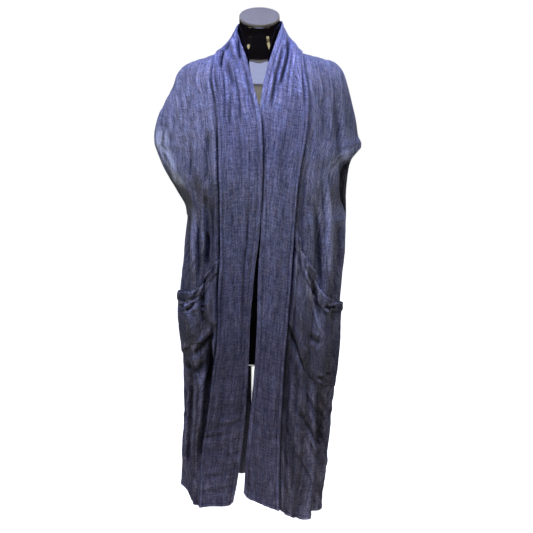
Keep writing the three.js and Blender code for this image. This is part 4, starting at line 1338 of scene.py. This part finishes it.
class Nodes:
    """A node tree built by short calls."""

    def __init__(self, owner):
        owner.use_nodes = True
        self.owner = owner
        self.tree = owner.node_tree
        self.tree.nodes.clear()

    def add(self, kind, inputs=None, **settings):
        """A node with a value or a link for each of these inputs."""
        node = self.tree.nodes.new("ShaderNode" + kind)
        for key, value in settings.items():
            setattr(node, key, value)
        for key, value in (inputs or {}).items():
            if isinstance(value, bpy.types.NodeSocket):
                self.tree.links.new(value, node.inputs[key])
            else:
                node.inputs[key].default_value = value
        return node

    def attribute(self, name, output):
        return self.add("Attribute", attribute_name=name).outputs[output]

    def noise(self, vector, scale, detail, **more):
        return self.add("TexNoise", {"Vector": vector, "Scale": scale, "Detail": detail, **more}).outputs[0]

    def streaks(self, vector, across, along, offset=0.0):
        """Noise drawn out into streaks, with this many to the metre across and along the cloth."""
        scaled = {"Vector": vector, "Scale": (across, along, 1), "Location": (offset, offset, offset)}
        return self.noise(self.add("Mapping", scaled).outputs[0], 1.0, 2.0, Roughness=0.6)

    def weighted(self, start, *pairs):
        """start plus the sum of (value - 0.5) * weight."""
        total = start
        for value, weight in pairs:
            term = self.add("Math", {0: value, 1: -0.5}, operation="ADD").outputs[0]
            total = self.add("Math", {0: term, 1: weight, 2: total}, operation="MULTIPLY_ADD").outputs[0]
        return total

    def ramp(self, factor, *stops):
        """Colours between two stops, with any further stops in between."""
        node = self.add("ValToRGB", {"Fac": factor})
        for element, (place, colour) in zip(node.color_ramp.elements, stops[:2]):
            element.position = place
            element.color = (*colour, 1)
        for place, colour in stops[2:]:
            node.color_ramp.elements.new(place).color = (*colour, 1)
        return node.outputs[0]

    def bump(self, height, distance, strength):
        return self.add("Bump", {"Height": height, "Distance": distance, "Strength": strength}).outputs[0]

    def finish(self, **inputs):
        named = {key.replace("_", " "): value for key, value in inputs.items()}
        self.add("OutputMaterial", {"Surface": self.add("BsdfPrincipled", named).outputs[0]})
        return self.owner


def new_material(name):
    return Nodes(bpy.data.materials.new(name))


def chambray(name, dark, middle, light, bars):
    """Dark weft and pale warp in a loose gauze, with slubs both ways."""
    shader = new_material(name)
    cut = shader.attribute("cut", "Vector")
    warp = shader.streaks(cut, 330, 26)
    furrow = shader.streaks(cut, 130, 8, 31.9)
    weft = shader.streaks(cut, 60, 380, 3.1)
    bar = shader.streaks(cut, 24, 240, 23.3)
    speck = shader.streaks(cut, 260, 300, 11.3)
    cloud = shader.streaks(cut, 16, 7, 17.9)
    hue = shader.streaks(cut, 170, 36, 41.7)
    threads = ((warp, 0.9), (furrow, 0.55), (weft, 0.5), (bar, bars), (speck, 0.75), (cloud, 0.3))
    shade = shader.weighted(0.5, *threads)
    woven = shader.ramp(shade, (0.15, dark), (0.85, light), (0.5, middle))
    cast = shader.ramp(hue, (0.35, (1.07, 1.0, 0.93)), (0.65, (0.93, 1.0, 1.06)))
    tinted = shader.add("VectorMath", {0: woven, 1: cast}, operation="MULTIPLY").outputs[0]
    # The woven colour is scaled by the painted shading: painted shade and light from folds, creases, seams
    # and edges.
    tone = shader.attribute("tone", "Fac")
    shaded = shader.add("VectorMath", {0: tinted, "Scale": tone}, operation="SCALE").outputs[0]
    # Painted light seen through the thin cloth by the armholes, mixed in by the sheer share.
    see_through_light = [(place, [share * c for c in SEE_THROUGH_PAINTED_COLOUR]) for place, share in ((0.2, 0.6), (0.8, 1.4))]
    layers = {0: shader.attribute("sheer", "Fac"), 6: shaded, 7: shader.ramp(shade, *see_through_light)}
    height = shader.weighted(0.5, (warp, 0.9), (furrow, 0.9), (weft, 0.5), (bar, 0.4))
    return shader.finish(
        Base_Color=shader.add("Mix", layers, data_type="RGBA").outputs[2],
        Roughness=0.93,
        Normal=shader.bump(height, 0.001, 0.55),
        Specular_IOR_Level=0.12,
        Sheen_Weight=0.15,
        Sheen_Roughness=0.5,
        Sheen_Tint=(0.8, 0.85, 1.0, 1),
    )


def in_object(name):
    """A new material and its place in the object."""
    shader = new_material(name)
    return shader, shader.add("TexCoord").outputs["Object"]


def thread():
    shader, place = in_object("thread")
    twist = shader.noise(place, 1500.0, 1.0)
    colour = shader.ramp(twist, (0.3, (0.06, 0.06, 0.1)), (0.7, (0.13, 0.13, 0.2)))
    return shader.finish(Base_Color=colour, Roughness=0.8, Normal=shader.bump(twist, 0.0001, 0.4))


def gloss_black():
    shader, place = in_object("form_gloss")
    rough = shader.weighted(0.08, (shader.noise(place, 9.0, 4.0), 0.06))
    dust = shader.noise(place, 420.0, 2.0)
    colour = shader.ramp(dust, (0.3, (0.003, 0.002, 0.002)), (0.8, (0.008, 0.006, 0.006)))
    waves = shader.bump(shader.noise(place, 16.0, 1.0), 0.002, 0.15)
    return shader.finish(Base_Color=colour, Roughness=rough, Normal=waves, Specular_IOR_Level=0.6)


def grainy(name, fine, coarse, patches, low, high, roughness, depth, strength):
    """A satin surface with a fine grain and faint patches."""
    shader, place = in_object(name)
    grain = shader.noise(place, fine, 3.0)
    shade = shader.weighted(0.5, (grain, 0.3), (shader.noise(place, coarse, 2.0), patches))
    colour = shader.ramp(shade, (0.2, low), (0.8, high))
    return shader.finish(Base_Color=colour, Roughness=roughness, Normal=shader.bump(grain, depth, strength))


def painted(piece, material):
    piece.data.materials.clear()
    piece.data.materials.append(material)


# Camera, lights and floor

def make_camera():
    data = bpy.data.cameras.new("camera")
    data.sensor_fit = "HORIZONTAL"
    data.sensor_width = SENSOR
    data.lens = SENSOR * FOCAL_PX / IMAGE_SIDE
    data.clip_end = 50
    camera = bpy.data.objects.new("camera", data)
    camera.location = Vector(CAMERA_PLACE) * MM
    camera.rotation_euler = (math.radians(90 - CAMERA_DOWN), 0, 0)
    bpy.context.scene.collection.objects.link(camera)
    bpy.context.scene.camera = camera


def make_light(name, place, target, size, watts, colour, spread, seen="cloth"):
    """A rectangular light that lights the cloth, or that only shows in the gloss."""
    data = bpy.data.lights.new(name, "AREA")
    data.shape = "RECTANGLE"
    data.size, data.size_y = size
    data.energy = watts
    data.color = colour
    data.spread = math.radians(spread)
    light = bpy.data.objects.new(name, data)
    light.location = place
    light.rotation_euler = (Vector(target) - Vector(place)).to_track_quat("-Z", "Y").to_euler()
    light.visible_camera = False
    light.visible_glossy = seen == "gloss"
    light.visible_diffuse = seen == "cloth"
    bpy.context.scene.collection.objects.link(light)
    return light


def only_on(light, *nodes):
    """The light reaches these nodes alone."""
    lit = bpy.data.collections.new(light.name + "_lit")
    for node in nodes:
        lit.objects.link(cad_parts[node])
    light.light_linking.receiver_collection = lit


def make_world():
    """Dim all-round light and a darker one in the gloss, while the camera sees white."""
    world = bpy.data.worlds.new("studio")
    bpy.context.scene.world = world
    nodes = Nodes(world)
    path = nodes.add("LightPath")
    dim, dark, white = (
        nodes.add("Background", {"Color": (*colour, 1), "Strength": strength}).outputs[0]
        for colour, strength in (DIM_LIGHT, GLOSS_LIGHT, WHITE_LIGHT)
    )
    lit = nodes.add("MixShader", {0: path.outputs["Is Glossy Ray"], 1: dim, 2: dark}).outputs[0]
    seen = nodes.add("MixShader", {0: path.outputs["Is Camera Ray"], 1: lit, 2: white}).outputs[0]
    nodes.add("OutputWorld", {"Surface": seen})


def make_floor():
    """A pale floor that neither throws light back up nor shows in the gloss."""
    shader = new_material("floor_white")
    glow = shader.add("Emission", {"Color": (1, 1, 1, 1), "Strength": 1.0})
    chalk = shader.add("BsdfDiffuse", {"Color": (0.85, 0.85, 0.85, 1)})
    both = shader.add("AddShader", {0: glow.outputs[0], 1: chalk.outputs[0]})
    shader.add("OutputMaterial", {"Surface": both.outputs[0]})
    corners = [(x * FLOOR_HALF, y * FLOOR_HALF, 0) for x, y in ((-1, -1), (1, -1), (1, 1), (-1, 1))]
    floor = make_mesh("floor", corners, [(0, 1, 2, 3)])
    floor.data.materials.append(shader.owner)
    floor.visible_diffuse = floor.visible_glossy = False


make_camera()
make_world()
for name, lamp in CLOTH_LAMPS.items():
    make_light(name, *lamp)
for name, lamp in GLOSS_LAMPS.items():
    make_light(name, *lamp, seen="gloss")
for name, lamp in STAND_LAMPS.items():
    only_on(make_light(name, *lamp), "form_pole", "form_base")
make_floor()
bpy.context.scene.view_settings.view_transform = "Standard"

panel_cloth = chambray("chambray_panel", *PANEL_COLOURS, 0.25)
band_cloth = chambray("chambray_band", *BAND_COLOURS, 0.4)

fronts = {side: make_front(side) for side in (RIGHT, LEFT)}
bands = {side: make_band(side) for side in (RIGHT, LEFT)}
pockets = {side: make_pocket(side, *fronts[side][:2]) for side in (RIGHT, LEFT)}
back = make_back()
torso, plate = make_form()

pieces = {"coat_back": (back, panel_cloth, "cloth")}
for side, name in SIDE_NAMES.items():
    pieces[f"coat_front_{name}"] = (fronts[side], panel_cloth, "cloth")
    pieces[f"band_{name}"] = (bands[side], band_cloth, "band_cloth")
    pieces[f"pocket_{name}"] = (pockets[side], panel_cloth, "cloth")
yarn = thread()
for node, (made, material, slot) in pieces.items():
    wall, stitches = made[2:]
    painted(wall, material)
    painted(stitches, yarn)
    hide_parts(node)
    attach(wall, "root")
    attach(stitches, "root")
cap_grey = grainy("cap_grey", 300.0, 24.0, 0.4, *CAP_COLOURS, 0.5, 0.0003, 0.3)
for piece, material, slot, node in (
    (torso, gloss_black(), "form_gloss", "form_torso"),
    (plate, cap_grey, "cap_grey", "form_neck_cap"),
):
    painted(piece, material)
    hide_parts(node)
    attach(piece, "root")
stand_paint = grainy("stand_paint", 220.0, 14.0, 0.5, *STAND_COLOURS, 0.42, 0.0004, 0.25)
for node in ("form_pole", "form_base"):
    painted(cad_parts[node], stand_paint)
